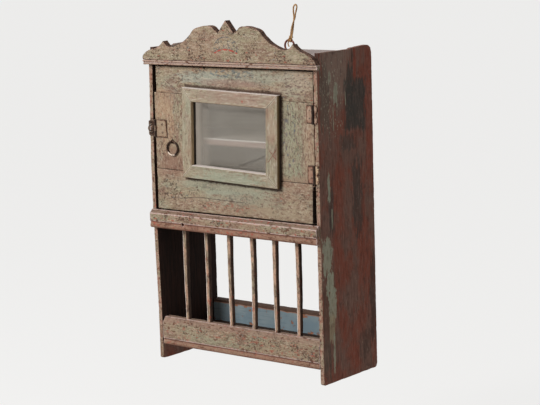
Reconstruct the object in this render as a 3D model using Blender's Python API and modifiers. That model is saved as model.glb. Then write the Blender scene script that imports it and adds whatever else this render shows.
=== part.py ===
"""Wall cabinet: a glazed cupboard over an open rack with a barred front, hung by twine from an iron eye."""
import bpy
import bmesh
from math import cos, hypot, pi, radians, sin, tan
from mathutils import Vector

# Driving dimensions in metres: heights from the foot of the sides, depths from the wall
CLEAR = 0.0003                  # gap kept between pieces that touch
WELD = 0.000001                 # distance under which points of one piece are the same point

WIDTH = 0.400
DEPTH = 0.170
BOARD = 0.009                   # thickness of the two sides
SIDE_TOP = 0.607
SIDE_HORN = 0.005               # rise of a side's top edge towards the wall
HORN_STEP = 0.002               # part of that rise made in one step
HORN_RUN = 0.064                # distance from the wall over which the rise runs, on the right
HORN_ROUND = 0.016
LEFT_RISE = 0.0024              # left side's top above the right side's
LEFT_HORN_RUN = 0.100
SIDE_SPRUNG = 0.005             # front edge of the left side warped outwards, at its most
SPRUNG_FROM = 0.0555            # heights between which it is warped
SPRUNG_TO = 0.650
SPRUNG_STEPS = 14
FOOT_ROUND = 0.008
FRONT_FOOT_ROUND = 0.0027
ARRIS = 0.0008                  # softened edge of the boards
ARRIS_STEPS = 2
SHARP = radians(40)             # angle from which an edge is softened, or shown sharp

TOP_BOARD = 0.010
TOP_BOARD_DROP = 0.008          # top board below the top of the right side
BACK_BOARD = 0.012
BACK_LAP = 0.032                # back board's reach below the top of the cupboard's floor
BACK_JOINT = 0.425              # height where the two back boards meet

CREST = 0.014
CREST_LET_IN = 0.005            # depth that the crest is let into the sides and the top
CREST_DROP = 0.030              # crest's foot below the top of the right side
CREST_OVERHANG = 0.008          # crest and bead past the outside of each side
CREST_PEAK = 0.086              # central point above the crest's foot
BEAD = 0.009                    # height of the double bead under the crest
BEAD_PROUD = 0.002
BEAD_ROUND = 0.0018
GROOVE = 0.0014                 # depth of the scratched grooves

MID_RAIL = 0.010
MID_RAIL_TOP = 0.297
MID_RAIL_HEIGHT = 0.036
MID_RAIL_SHORT = 0.002          # rail's end short of the outside of the side
MID_RAIL_LEFT = 0.006           # rail's left end further out, over the warped side
MID_RAIL_BEVEL = 0.007
MID_RAIL_BEAD = 0.0125
SHELF = 0.010
SHELF_DROP = 0.003              # cupboard floor below the rail's top

INNER_SHELF = 0.014
INNER_SHELF_TOP = 0.4392
INNER_SHELF_SHORT = 0.0077      # shelf's front edge short of the door's back
CLEAT = 0.012

FOOT_RAIL = 0.022
FOOT_RAIL_FOOT = 0.0285
FOOT_RAIL_HEIGHT = 0.0555
FOOT_RAIL_BEVEL = 0.011
FOOT_RAIL_SLOPE = 0.008         # depth of that bevel
FOOT_RAIL_BEAD = 0.0115
RACK_FLOOR = 0.009
RACK_FLOOR_TOP = 0.049
BACK_RAIL = 0.016
BACK_RAIL_TOP = 0.093
BACK_RAIL_FALL = 0.0035
BACK_RAIL_ROUND = 0.004

BAR_COUNT = 6
BAR_HEAD = 0.0112               # bar's width at the top
BAR_FOOT = 0.0092
BAR_ROUND = 0.0021
BAR_HEAD_SOCKET = 0.005
BAR_FOOT_SOCKET = 0.010
BAR_STATIONS = 6                # stretches that the bent bars are divided into
BAR_SHIFTS = (0.0020, 0.0009, 0.0026, 0.0030, 0.0020, 0.0)
BAR_BOWS = (-0.0012, 0.0010, -0.0008, 0.0014, -0.0010, 0.0012)

DOOR = 0.014
DOOR_TOP_GAP = 0.0035
DOOR_FOOT_GAP = 0.0015
DOOR_LATCH_GAP = 0.0012
DOOR_HINGE_GAP = 0.0016
DOOR_TOP_RAIL = 0.053
DOOR_FOOT_RAIL = 0.076
DOOR_TOP_RAIL_SHORT = 0.0055    # top rail's end inside the latch stile's edge
DOOR_TILT = radians(0.9)        # fall of the rail joints towards the hinges
DOOR_FOOT_SHORT = 0.0046        # foot rail's end inside the hinge stile's edge
DOOR_FOOT_LEAN = 0.026          # that end drawn in towards the foot, per metre of height
OPENING_WIDTH = 0.203
OPENING_SHIFT = 0.0015          # opening's middle to the right of the cabinet's middle

GLASS = 0.002
REBATE = 0.005
REBATE_LAP = 0.008
STRIP = 0.007
MOULDING = 0.026
MOULDING_OUTER = 0.011          # height of the moulding's outer edge over the door
MOULDING_INNER = 0.014
MOULDING_ROUND = 0.0012
MOULDING_LAP = 0.0126
MOULDING_TILT = radians(1.8)

PLATE = 0.0014                  # iron of the hinges and the hasp
KNUCKLE = 0.0023
PIN = 0.0011
PIN_CLEAR = 0.0002
PIN_PROUD = 0.0008
HINGE = 0.034
HINGE_DOOR_REACH = 0.015
HINGE_SIDE_REACH = 0.0094
HINGE_DOOR_END = 0.029
HINGE_SIDE_END = 0.021
UPPER_HINGE_DROP = 0.023        # hinge's middle under the top rail's joint
LOWER_HINGE_RISE = 0.014

HASP = 0.033
HASP_RISE = 0.156               # hasp's middle above the door's foot
HASP_INSET = 0.0035             # hasp's pivot from the inside of the latch side
HASP_PLATE_REACH = 0.027
HASP_STRAP_END = 0.028
HASP_STRAP_TIP = 0.0025         # iron left between the strap's slot and its end
HASP_SLOT_EASE = 0.0008
STAPLE_WIRE = 0.0011            # radius
STAPLE_SPREAD = 0.010
STAPLE_STAND = 0.009
STAPLE_BURY = 0.012
BEND_STEPS = 10
ROD_SIDES = 16
HOLE_SIDES = 12
HOOP_STEPS = 28                 # stretches round a hoop of wire, and sides of the wire
HOOP_SIDES = 8
CORD_FINENESS = 3

RING = 0.0132                   # radius of the ring's centre line
RING_WIRE = 0.0016
RING_STANDOFF = 0.0005
RING_X = -0.146
RING_DROP = 0.0235              # ring's pivot below the hasp's middle
RING_STAPLE_WIRE = 0.0010
RING_STAPLE_EASE = 0.0004
RING_STAPLE_BURY = 0.010

EYE = 0.011                     # radius of the hanging eye's centre line
EYE_WIRE = 0.00175
EYE_X = 0.0142
EYE_HEIGHT = 0.0053             # eye's middle above the top board less the shank's neck
EYE_SHANK = 0.022
TURN = 0.0015                   # radius of the twine where it is wound through the eye
TURN_SPACING = 0.0026
KNOT_LEAN = radians(14)         # place of the knot on the eye, from its crown towards the right
TWINE = 0.0025                  # radius of the doubled twine
STRAND = 0.0013                 # radius of one strand, where the two part into the loop
# Points of the twine from the knot, and of the loop from the twine's end: to the right and up
TWINE_ROUTE = (
    (0.0, 0.0), (0.0011, 0.0045), (0.0030, 0.0139), (0.0057, 0.0253), (0.0083, 0.0340), (0.0096, 0.0385),
    (0.0096, 0.0415),
)
LOOP_ROUTE = (
    (-0.0016, 0.0), (-0.0019, 0.0045), (-0.0023, 0.0100), (-0.0014, 0.0157), (0.0010, 0.0195),
    (0.0034, 0.0209), (0.0055, 0.0192), (0.0060, 0.0157), (0.0043, 0.0100), (0.0026, 0.0045), (0.0016, 0.0),
)
TWINE_STEPS = 3                 # points of the tube on each stretch of the route


def sprung(height):
    """How far the left side's front edge has warped outwards at a height."""
    share = (height - SPRUNG_FROM) / (SPRUNG_TO - SPRUNG_FROM)
    return SIDE_SPRUNG * sin(pi * min(1.0, max(0.0, share))) ** 2


# Places worked out from the driving dimensions
FRONT = -DEPTH
INNER = WIDTH / 2 - BOARD
CREST_HALF = WIDTH / 2 + CREST_OVERHANG
CREST_SEAT = FRONT + CREST_LET_IN
CREST_FACE = CREST_SEAT - CLEAR - CREST
MID_RAIL_FOOT = MID_RAIL_TOP - MID_RAIL_HEIGHT
FOOT_RAIL_TOP = FOOT_RAIL_FOOT + FOOT_RAIL_HEIGHT
SHELF_TOP = MID_RAIL_TOP - SHELF_DROP
BACK_FOOT = SHELF_TOP - BACK_LAP
TOP_BOARD_TOP = SIDE_TOP - TOP_BOARD_DROP
CREST_FOOT = SIDE_TOP - CREST_DROP
BACK_TOP = TOP_BOARD_TOP - TOP_BOARD - CLEAR
MOUNT_HEIGHT = (BACK_JOINT + BACK_TOP) / 2
DOOR_TOP = CREST_FOOT - DOOR_TOP_GAP
DOOR_BASE = MID_RAIL_TOP + DOOR_FOOT_GAP
TOP_JOINT = DOOR_TOP - DOOR_TOP_RAIL
FOOT_JOINT = DOOR_BASE + DOOR_FOOT_RAIL
OPENING_MIDDLE = (TOP_JOINT + FOOT_JOINT) / 2
DOOR_BACK = FRONT + DOOR
PIVOT_Y = FRONT - CLEAR - KNUCKLE
HINGE_X = INNER - DOOR_HINGE_GAP / 2
HASP_X = HASP_INSET - INNER
HASP_Z = DOOR_BASE + HASP_RISE
RING_Y = FRONT - RING_STANDOFF - RING_WIRE
RING_Z = HASP_Z - RING_DROP
STAPLE_X = BOARD / 2 - WIDTH / 2 - sprung(HASP_Z)
STAPLE_REACH = HASP_X - STAPLE_X
STAPLE_TIP_REACH = hypot(STAPLE_REACH, STAPLE_STAND - KNUCKLE - CLEAR)
HASP_SLOT_START = STAPLE_REACH - STAPLE_WIRE - HASP_SLOT_EASE
HASP_SLOT_END = STAPLE_TIP_REACH + STAPLE_WIRE + HASP_SLOT_EASE
HASP_STRAP_REACH = HASP_SLOT_END + HASP_STRAP_TIP
BAR_Y = FRONT + (FOOT_RAIL + FOOT_RAIL_SLOPE) / 2
EYE_Y = -BACK_BOARD / 2
EYE_Z = TOP_BOARD_TOP + EYE_HEIGHT + CLEAR
FACING_FRONT = (pi / 2, 0.0, 0.0)
FACING_SIDE = (pi / 2, 0.0, pi / 2)

for old in list(bpy.data.objects):
    bpy.data.objects.remove(old, do_unlink=True)

cabinet = bpy.data.collections.new("wall_cabinet")
cutters = bpy.data.collections.new("cutters")
for group in (cabinet, cutters):
    bpy.context.scene.collection.children.link(group)


def material(name, colour, roughness, metallic=0.0, alpha=1.0):
    """A plain Principled material."""
    made = bpy.data.materials.new(name)
    made.use_nodes = True
    shader = made.node_tree.nodes["Principled BSDF"]
    shader.inputs["Base Color"].default_value = (*colour, 1.0)
    shader.inputs["Roughness"].default_value = roughness
    shader.inputs["Metallic"].default_value = metallic
    shader.inputs["Alpha"].default_value = alpha
    return made


PAINT = ("front_paint", (0.40, 0.36, 0.27), 0.75)
SIDE_PAINT = ("side_paint", (0.10, 0.065, 0.05), 0.7)
BARE_WOOD = ("bare_wood", (0.17, 0.10, 0.065), 0.8)
BLUE_PAINT = ("blue_paint", (0.17, 0.24, 0.27), 0.75)
IRON = ("iron", (0.055, 0.04, 0.035), 0.6, 0.8)
WINDOW = ("glass", (0.55, 0.53, 0.49), 0.08, 0.0, 0.35)
JUTE = ("jute", (0.36, 0.24, 0.12), 0.9)


def pivot(name, place, parent=None):
    """An empty that a group of pieces hangs on."""
    empty = bpy.data.objects.new(name, None)
    empty.location = place
    cabinet.objects.link(empty)
    if parent:
        empty.parent = parent
        empty.location = Vector(place) - parent.matrix_world.translation
    bpy.context.view_layer.update()
    return empty


def from_bmesh(name, bm):
    """A new object from a finished bmesh, in the cabinet's collection."""
    mesh = bpy.data.meshes.new(name)
    bmesh.ops.recalc_face_normals(bm, faces=bm.faces)
    bm.to_mesh(mesh)
    bm.free()
    made = bpy.data.objects.new(name, mesh)
    cabinet.objects.link(made)
    return made


def box(name, low, high):
    """A box between two corners, with its origin in its middle."""
    bm = bmesh.new()
    bmesh.ops.create_cube(bm, size=1.0)
    bmesh.ops.scale(bm, vec=Vector(high) - Vector(low), verts=bm.verts)
    made = from_bmesh(name, bm)
    made.location = (Vector(low) + Vector(high)) / 2
    return made


def rod(name, radius, length, place, turn=(0.0, 0.0, 0.0), sides=ROD_SIDES):
    """A round rod, upright unless turned."""
    bm = bmesh.new()
    bmesh.ops.create_cone(bm, cap_ends=True, segments=sides, radius1=radius, radius2=radius, depth=length)
    made = from_bmesh(name, bm)
    made.location = place
    made.rotation_euler = turn
    return made


def hoop(name, radius, wire, place, turn):
    """A closed round ring of wire."""
    bpy.ops.mesh.primitive_torus_add(major_radius=radius, minor_radius=wire, major_segments=HOOP_STEPS,
                                     minor_segments=HOOP_SIDES)
    made = bpy.context.object
    made.name = name
    made.location = place
    made.rotation_euler = turn
    for group in list(made.users_collection):
        group.objects.unlink(made)
    cabinet.objects.link(made)
    return made


def solid_from_curve(curve):
    """A welded mesh object in place of a curve object."""
    bpy.context.view_layer.update()
    graph = bpy.context.evaluated_depsgraph_get()
    mesh = bpy.data.meshes.new_from_object(curve.evaluated_get(graph))
    name = curve.name
    place = curve.matrix_world.copy()
    bpy.data.objects.remove(curve, do_unlink=True)
    bm = bmesh.new()
    bm.from_mesh(mesh)
    bmesh.ops.remove_doubles(bm, verts=bm.verts, dist=WELD)
    bpy.data.meshes.remove(mesh)
    made = from_bmesh(name, bm)
    made.matrix_world = place
    return made


def new_curve(name, dimensions):
    """An empty curve object."""
    data = bpy.data.curves.new(name, "CURVE")
    data.dimensions = dimensions
    made = bpy.data.objects.new(name, data)
    cabinet.objects.link(made)
    return made


def slab(name, points, thickness, facing, place):
    """A flat outline with a thickness, turned to the front or to the side."""
    made = new_curve(name, "2D")
    made.data.fill_mode = "BOTH"
    made.data.extrude = thickness / 2
    spline = made.data.splines.new("POLY")
    spline.points.add(len(points) - 1)
    for point, (across, up) in zip(spline.points, points):
        point.co = (across, up, 0.0, 1.0)
    spline.use_cyclic_u = True
    made.rotation_euler = facing
    made.location = place
    return solid_from_curve(made)


def tube(name, points, radius, closed=False, resolution=2):
    """A round wire or cord along a list of points."""
    made = new_curve(name, "3D")
    made.data.bevel_depth = radius
    made.data.bevel_resolution = resolution
    made.data.use_fill_caps = True
    spline = made.data.splines.new("POLY")
    spline.points.add(len(points) - 1)
    for point, place in zip(spline.points, points):
        point.co = (*place, 1.0)
    spline.use_cyclic_u = closed
    return solid_from_curve(made)


def rounded(corners, steps=4):
    """Points of an outline given by corners (across, up, radius), with an arc at each rounded corner."""
    points = []
    for index, (across, up, radius) in enumerate(corners):
        corner = Vector((across, up))
        if radius == 0.0:
            points.append(corner)
            continue
        before = (Vector(corners[index - 1][:2]) - corner).normalized()
        after = (Vector(corners[(index + 1) % len(corners)][:2]) - corner).normalized()
        half = before.angle(after) / 2
        middle = corner + (before + after).normalized() * (radius / sin(half))
        start = corner + before * (radius / tan(half)) - middle
        end = corner + after * (radius / tan(half)) - middle
        for step in range(steps + 1):
            share = step / steps
            swing = pi - 2 * half
            blend = (start * sin((1 - share) * swing) + end * sin(share * swing)) / sin(swing)
            points.append(middle + blend)
    return points


def soften(made, width):
    """Rounded edges on a board or a bar."""
    bevel = made.modifiers.new("softened_edges", "BEVEL")
    bevel.width = width
    bevel.segments = ARRIS_STEPS
    bevel.limit_method = "ANGLE"
    bevel.angle_limit = SHARP


def combine(made, other, operation):
    """Cut a piece with another solid, or join that solid to it."""
    for group in list(other.users_collection):
        group.objects.unlink(other)
    if other.name not in cutters.objects:
        cutters.objects.link(other)
    other.hide_render = True
    other.display_type = "WIRE"
    boolean = made.modifiers.new(other.name, "BOOLEAN")
    boolean.operation = operation
    boolean.object = other
    boolean.solver = "EXACT"


def hang(made, parent, finish, smooth=False):
    """Give a finished piece its material and its parent, where it stands."""
    made.data.materials.clear()
    made.data.materials.append(material(f"{made.name}_{finish[0]}", *finish[1:]))
    bpy.context.view_layer.update()
    made.parent = parent
    made.matrix_parent_inverse = parent.matrix_world.inverted()
    if smooth:
        made.data.shade_smooth()
        made.data.set_sharp_from_angle(angle=SHARP)


# The four bodies: carcass, door, hasp and ring, each on the axis that it turns about
carcass = pivot("carcass_origin", (0.0, 0.0, 0.0))
door = pivot("door_axis", (HINGE_X, PIVOT_Y, DOOR_BASE), carcass)
hasp = pivot("hasp_axis", (HASP_X, PIVOT_Y, HASP_Z), door)
ring = pivot("ring_axis", (RING_X, RING_Y, RING_Z), door)


def side_outline(top, run):
    """Outline of a side: notched for the crest, its top edge stepping up at a distance from the wall."""
    return rounded([
        (FRONT, 0.0, FRONT_FOOT_ROUND),
        (0.0, 0.0, FOOT_ROUND),
        (0.0, top + SIDE_HORN, HORN_ROUND),
        (-run, top + HORN_STEP, 0.0),
        (-run - HORN_STEP, top, 0.0),
        (CREST_SEAT, top, ARRIS),
        (CREST_SEAT, CREST_FOOT + BEAD, 0.0),
        (FRONT, CREST_FOOT + BEAD, 0.0),
    ])


def warp(made):
    """Bend a side outwards towards its front edge, as a board does that has sprung from its shelves."""
    bm = bmesh.new()
    bm.from_mesh(made.data)
    bm.transform(made.matrix_world)
    for step in range(1, SPRUNG_STEPS):
        height = SPRUNG_FROM + (SPRUNG_TO - SPRUNG_FROM) * step / SPRUNG_STEPS
        everything = bm.verts[:] + bm.edges[:] + bm.faces[:]
        bmesh.ops.bisect_plane(bm, geom=everything, plane_co=(0.0, 0.0, height), plane_no=(0.0, 0.0, 1.0))
    for vertex in bm.verts:
        vertex.co.x -= sprung(vertex.co.z) * vertex.co.y / FRONT
    bmesh.ops.triangulate(bm, faces=bm.faces)
    bm.transform(made.matrix_world.inverted())
    bm.to_mesh(made.data)
    bm.free()


def make_sides():
    """Two boards with a rounded foot at the wall. The left one stands a little higher and has warped."""
    middle = WIDTH / 2 - BOARD / 2
    right = slab("side_right", side_outline(SIDE_TOP, HORN_RUN), BOARD, FACING_SIDE, (middle, 0.0, 0.0))
    left_outline = side_outline(SIDE_TOP + LEFT_RISE, LEFT_HORN_RUN)
    left = slab("side_left", left_outline, BOARD, FACING_SIDE, (-middle, 0.0, 0.0))
    warp(left)
    for level in (-1, 1):
        place = (STAPLE_X, FRONT + STAPLE_BURY / 2, HASP_Z + level * STAPLE_SPREAD / 2)
        hole = rod("hasp_staple_hole", STAPLE_WIRE + CLEAR, STAPLE_BURY + 2 * CLEAR, place, FACING_FRONT,
                   HOLE_SIDES)
        combine(left, hole, "DIFFERENCE")
        hang(hole, carcass, BARE_WOOD)
    hang(right, carcass, SIDE_PAINT)
    hang(left, carcass, SIDE_PAINT)


def make_boards():
    """Top, cupboard floor, inner shelf on its cleats, rack floor and the two back boards."""
    half = INNER - CLEAR
    shelf_back = -BACK_BOARD - CLEAR
    shelf_front = DOOR_BACK + INNER_SHELF_SHORT
    top_back = EYE_Y - EYE_WIRE - CLEAR
    cleat_top = INNER_SHELF_TOP - INNER_SHELF - CLEAR
    boards = [
        box("top_board", (-half, CREST_SEAT, TOP_BOARD_TOP - TOP_BOARD), (half, top_back, TOP_BOARD_TOP)),
        box("mid_shelf", (-half, FRONT, SHELF_TOP - SHELF), (half, shelf_back, SHELF_TOP)),
        box("inner_shelf", (-half, shelf_front, INNER_SHELF_TOP - INNER_SHELF),
            (half, shelf_back, INNER_SHELF_TOP)),
        box("rack_floor", (-half, FRONT + FOOT_RAIL + CLEAR, RACK_FLOOR_TOP - RACK_FLOOR),
            (half, -BACK_RAIL - CLEAR, RACK_FLOOR_TOP)),
        box("back_board_lower", (-half, -BACK_BOARD, BACK_FOOT), (half, 0.0, BACK_JOINT - CLEAR)),
        box("back_board_upper", (-half, -BACK_BOARD, BACK_JOINT), (half, 0.0, BACK_TOP)),
        box("shelf_cleat_left", (-half, shelf_front, cleat_top - CLEAT),
            (CLEAT - half, shelf_back, cleat_top)),
        box("shelf_cleat_right", (half - CLEAT, shelf_front, cleat_top - CLEAT),
            (half, shelf_back, cleat_top)),
    ]
    for board in boards:
        soften(board, ARRIS)
    for index in range(BAR_COUNT):
        socket = BAR_HEAD / 2 + CLEAR
        place = bar_place(index)
        hole = box(f"bar_{index + 1}_head_socket",
                   (place - socket, BAR_Y - socket, SHELF_TOP - SHELF - BAR_HEAD_SOCKET),
                   (place + socket, BAR_Y + socket, SHELF_TOP - SHELF + BAR_HEAD_SOCKET))
        combine(boards[1], hole, "DIFFERENCE")
        hang(hole, carcass, BARE_WOOD)
    shank_hole = rod("eye_shank_hole", EYE_WIRE + CLEAR, 2 * (EYE_SHANK + CLEAR), (EYE_X, EYE_Y, BACK_TOP))
    combine(boards[5], shank_hole, "DIFFERENCE")
    hang(shank_hole, carcass, BARE_WOOD)
    for board in boards:
        hang(board, carcass, BARE_WOOD)


def bar_place(index):
    """Middle of a bar across the rack: even spacing, each a little off as set by eye."""
    return -INNER + 2 * INNER * (index + 1) / (BAR_COUNT + 1) + BAR_SHIFTS[index % len(BAR_SHIFTS)]


def make_crest():
    """Sawn crest with a central point, two humps, two small cusps and rounded ends, over a double bead."""
    peak = CREST_PEAK - BEAD - CLEAR
    # Each point of one half: share of the half length, share of the peak's height, and whether it is sharp
    half_outline = [
        (0.000, 1.000, True), (0.090, 0.700, True), (0.123, 0.757, False), (0.165, 0.848, False),
        (0.220, 0.867, False), (0.300, 0.834, False), (0.368, 0.775, False), (0.423, 0.631, False),
        (0.490, 0.488, False), (0.560, 0.400, False), (0.640, 0.338, False), (0.690, 0.350, False),
        (0.742, 0.478, True), (0.768, 0.395, False), (0.823, 0.308, False), (0.900, 0.224, False),
        (0.955, 0.130, False), (0.988, 0.000, True),
    ]
    right = [(share * CREST_HALF, rise * peak, sharp) for share, rise, sharp in half_outline]
    left = [(-across, up, sharp) for across, up, sharp in reversed(right[1:])]
    points = left + right
    made = new_curve("crest_board", "2D")
    made.data.fill_mode = "BOTH"
    made.data.extrude = CREST / 2
    made.data.resolution_u = 4
    spline = made.data.splines.new("BEZIER")
    spline.bezier_points.add(len(points) - 1)
    for point, (across, up, sharp) in zip(spline.bezier_points, points):
        point.co = (across, up, 0.0)
        point.handle_left_type = "VECTOR" if sharp else "AUTO"
        point.handle_right_type = "VECTOR" if sharp else "AUTO"
    spline.use_cyclic_u = True
    made.rotation_euler = FACING_FRONT
    made.location = (0.0, CREST_FACE + CREST / 2, CREST_FOOT + BEAD + CLEAR)
    crest = solid_from_curve(made)
    back = FRONT - CLEAR
    face = CREST_FACE - BEAD_PROUD
    middle = CREST_FOOT + BEAD / 2
    profile = rounded([
        (back, CREST_FOOT, 0.0), (back, CREST_FOOT + BEAD, 0.0),
        (face, CREST_FOOT + BEAD, BEAD_ROUND), (face, middle + GROOVE / 2, 0.0),
        (face + GROOVE, middle, 0.0), (face, middle - GROOVE / 2, 0.0),
        (face, CREST_FOOT, BEAD_ROUND),
    ])
    bead = slab("crest_bead", profile, 2 * CREST_HALF, FACING_SIDE, (0.0, 0.0, 0.0))
    hang(crest, carcass, PAINT)
    hang(bead, carcass, PAINT)


def make_rails():
    """Moulded rail across the front under the door, rail at the rack's foot, and the rail at its back."""
    back = FRONT - CLEAR
    face = back - MID_RAIL
    bead = MID_RAIL_FOOT + MID_RAIL_BEAD
    mid_profile = rounded([
        (back, MID_RAIL_FOOT, 0.0), (back, MID_RAIL_TOP, 0.0),
        (face + MID_RAIL_BEVEL, MID_RAIL_TOP, ARRIS), (face, MID_RAIL_TOP - MID_RAIL_BEVEL, ARRIS),
        (face, bead + GROOVE, 0.0), (face + GROOVE, bead, 0.0), (face, bead - GROOVE, BEAD_ROUND),
        (face, MID_RAIL_FOOT, 2 * BEAD_ROUND),
    ])
    mid_length = WIDTH - 2 * MID_RAIL_SHORT + MID_RAIL_LEFT
    mid = slab("mid_rail", mid_profile, mid_length, FACING_SIDE, (-MID_RAIL_LEFT / 2, 0.0, 0.0))
    foot_back = FRONT + FOOT_RAIL
    foot_bead = FOOT_RAIL_FOOT + FOOT_RAIL_BEAD
    foot_profile = rounded([
        (foot_back, FOOT_RAIL_FOOT, 0.0), (foot_back, FOOT_RAIL_TOP, ARRIS),
        (FRONT + FOOT_RAIL_SLOPE, FOOT_RAIL_TOP, ARRIS), (FRONT, FOOT_RAIL_TOP - FOOT_RAIL_BEVEL, ARRIS),
        (FRONT, foot_bead + GROOVE, 0.0), (FRONT + GROOVE, foot_bead, 0.0),
        (FRONT, foot_bead - GROOVE, BEAD_ROUND), (FRONT, FOOT_RAIL_FOOT, 2 * BEAD_ROUND),
    ])
    length = 2 * (INNER - CLEAR)
    foot = slab("foot_rail", foot_profile, length, FACING_SIDE, (0.0, 0.0, 0.0))
    for index in range(BAR_COUNT):
        socket = BAR_FOOT / 2 + CLEAR
        place = bar_place(index)
        hole = box(f"bar_{index + 1}_foot_socket",
                   (place - socket, BAR_Y - socket, FOOT_RAIL_TOP - BAR_FOOT_SOCKET),
                   (place + socket, BAR_Y + socket, FOOT_RAIL_TOP + BAR_FOOT_SOCKET))
        combine(foot, hole, "DIFFERENCE")
        hang(hole, carcass, BARE_WOOD)
    back_profile = rounded([
        (0.0, FOOT_RAIL_FOOT, 0.0), (0.0, BACK_RAIL_TOP, ARRIS),
        (-BACK_RAIL, BACK_RAIL_TOP - BACK_RAIL_FALL, BACK_RAIL_ROUND), (-BACK_RAIL, FOOT_RAIL_FOOT, 0.0),
    ])
    rear = slab("back_rail", back_profile, length, FACING_SIDE, (0.0, 0.0, 0.0))
    hang(mid, carcass, PAINT)
    hang(foot, carcass, PAINT)
    hang(rear, carcass, BLUE_PAINT)


def make_bars():
    """Six whittled bars: square with rounded corners, thinner at the foot and slightly bent."""
    foot = FOOT_RAIL_TOP - BAR_FOOT_SOCKET + CLEAR
    head = SHELF_TOP - SHELF + BAR_HEAD_SOCKET - CLEAR
    for index in range(BAR_COUNT):
        bm = bmesh.new()
        bmesh.ops.create_cube(bm, size=1.0)
        uprights = [edge for edge in bm.edges if abs(edge.verts[0].co.z - edge.verts[1].co.z) > 0.5]
        bmesh.ops.subdivide_edges(bm, edges=uprights, cuts=BAR_STATIONS - 1, use_grid_fill=True)
        for vert in bm.verts:
            share = vert.co.z + 0.5
            width = BAR_FOOT + (BAR_HEAD - BAR_FOOT) * share
            vert.co.x = vert.co.x * width + BAR_BOWS[index % len(BAR_BOWS)] * sin(pi * share)
            vert.co.y = vert.co.y * width
            vert.co.z = vert.co.z * (head - foot)
        bar = from_bmesh(f"bar_{index + 1}", bm)
        bar.location = (bar_place(index), BAR_Y, (foot + head) / 2)
        soften(bar, BAR_ROUND)
        hang(bar, carcass, PAINT)


def joint_height(middle, across):
    """Height of a tilted joint line of the door at a place across it."""
    return middle - tan(DOOR_TILT) * across


def make_door_frame():
    """Two rails right across and two stiles between them, rebated behind for the glass."""
    latch = DOOR_LATCH_GAP - INNER
    top_start = latch + DOOR_TOP_RAIL_SHORT
    left = OPENING_SHIFT - OPENING_WIDTH / 2
    right = OPENING_SHIFT + OPENING_WIDTH / 2
    edge = INNER - DOOR_HINGE_GAP
    foot_end = edge - DOOR_FOOT_SHORT
    foot_corner = foot_end - DOOR_FOOT_LEAN * DOOR_FOOT_RAIL
    top_rail = [(top_start, joint_height(TOP_JOINT, top_start)),
                (edge, joint_height(TOP_JOINT, edge)),
                (edge, DOOR_TOP), (top_start, DOOR_TOP)]
    foot_rail = [(latch, DOOR_BASE), (foot_corner, DOOR_BASE),
                 (foot_end, joint_height(FOOT_JOINT, foot_end)), (latch, joint_height(FOOT_JOINT, latch))]
    pieces = {"door_top_rail": top_rail, "door_foot_rail": foot_rail}
    for name, (start, end) in {"door_stile_latch": (latch, left), "door_stile_hinge": (right, edge)}.items():
        pieces[name] = [(start, joint_height(FOOT_JOINT, start) + CLEAR),
                        (end, joint_height(FOOT_JOINT, end) + CLEAR),
                        (end, joint_height(TOP_JOINT, end) - CLEAR),
                        (start, joint_height(TOP_JOINT, start) - CLEAR)]
    rebate_low = (left - REBATE_LAP, DOOR_BACK - REBATE, FOOT_JOINT - REBATE_LAP)
    rebate_high = (right + REBATE_LAP, DOOR_BACK + REBATE, TOP_JOINT + REBATE_LAP)
    rebate = box("glass_rebate", rebate_low, rebate_high)
    for name, outline in pieces.items():
        piece = slab(name, outline, DOOR, FACING_FRONT, (0.0, (FRONT + DOOR_BACK) / 2, 0.0))
        soften(piece, ARRIS)
        combine(piece, rebate, "DIFFERENCE")
        if name == "door_stile_latch":
            for level in (-1, 1):
                place = (RING_X, FRONT + RING_STAPLE_BURY / 2, RING_Z + level * ring_staple_spread() / 2)
                hole = rod("ring_staple_hole", RING_STAPLE_WIRE + CLEAR, RING_STAPLE_BURY + 2 * CLEAR,
                           place, FACING_FRONT, HOLE_SIDES)
                combine(piece, hole, "DIFFERENCE")
                hang(hole, door, BARE_WOOD)
        hang(piece, door, PAINT)
    hang(rebate, door, BARE_WOOD)


def make_glazing():
    """Glass in the rebate, held behind by four strips."""
    half_width = OPENING_WIDTH / 2 + REBATE_LAP - CLEAR
    half_height = (TOP_JOINT - FOOT_JOINT) / 2 + REBATE_LAP - CLEAR
    glass_front = DOOR_BACK - REBATE + CLEAR
    glass_back = glass_front + GLASS
    middle = Vector((OPENING_SHIFT, 0.0, OPENING_MIDDLE))
    pane = box("glass_pane", middle + Vector((-half_width, glass_front, -half_height)),
               middle + Vector((half_width, glass_back, half_height)))
    hang(pane, door, WINDOW)
    strip_front = glass_back + CLEAR
    short = half_height - STRIP - CLEAR
    spans = {
        "glazing_strip_top": (-half_width, half_height - STRIP, half_width, half_height),
        "glazing_strip_foot": (-half_width, -half_height, half_width, STRIP - half_height),
        "glazing_strip_left": (-half_width, -short, STRIP - half_width, short),
        "glazing_strip_right": (half_width - STRIP, -short, half_width, short),
    }
    for name, (west, low, east, high) in spans.items():
        strip = box(name, middle + Vector((west, strip_front, low)), middle + Vector((east, DOOR_BACK, high)))
        hang(strip, door, BARE_WOOD)


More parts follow.
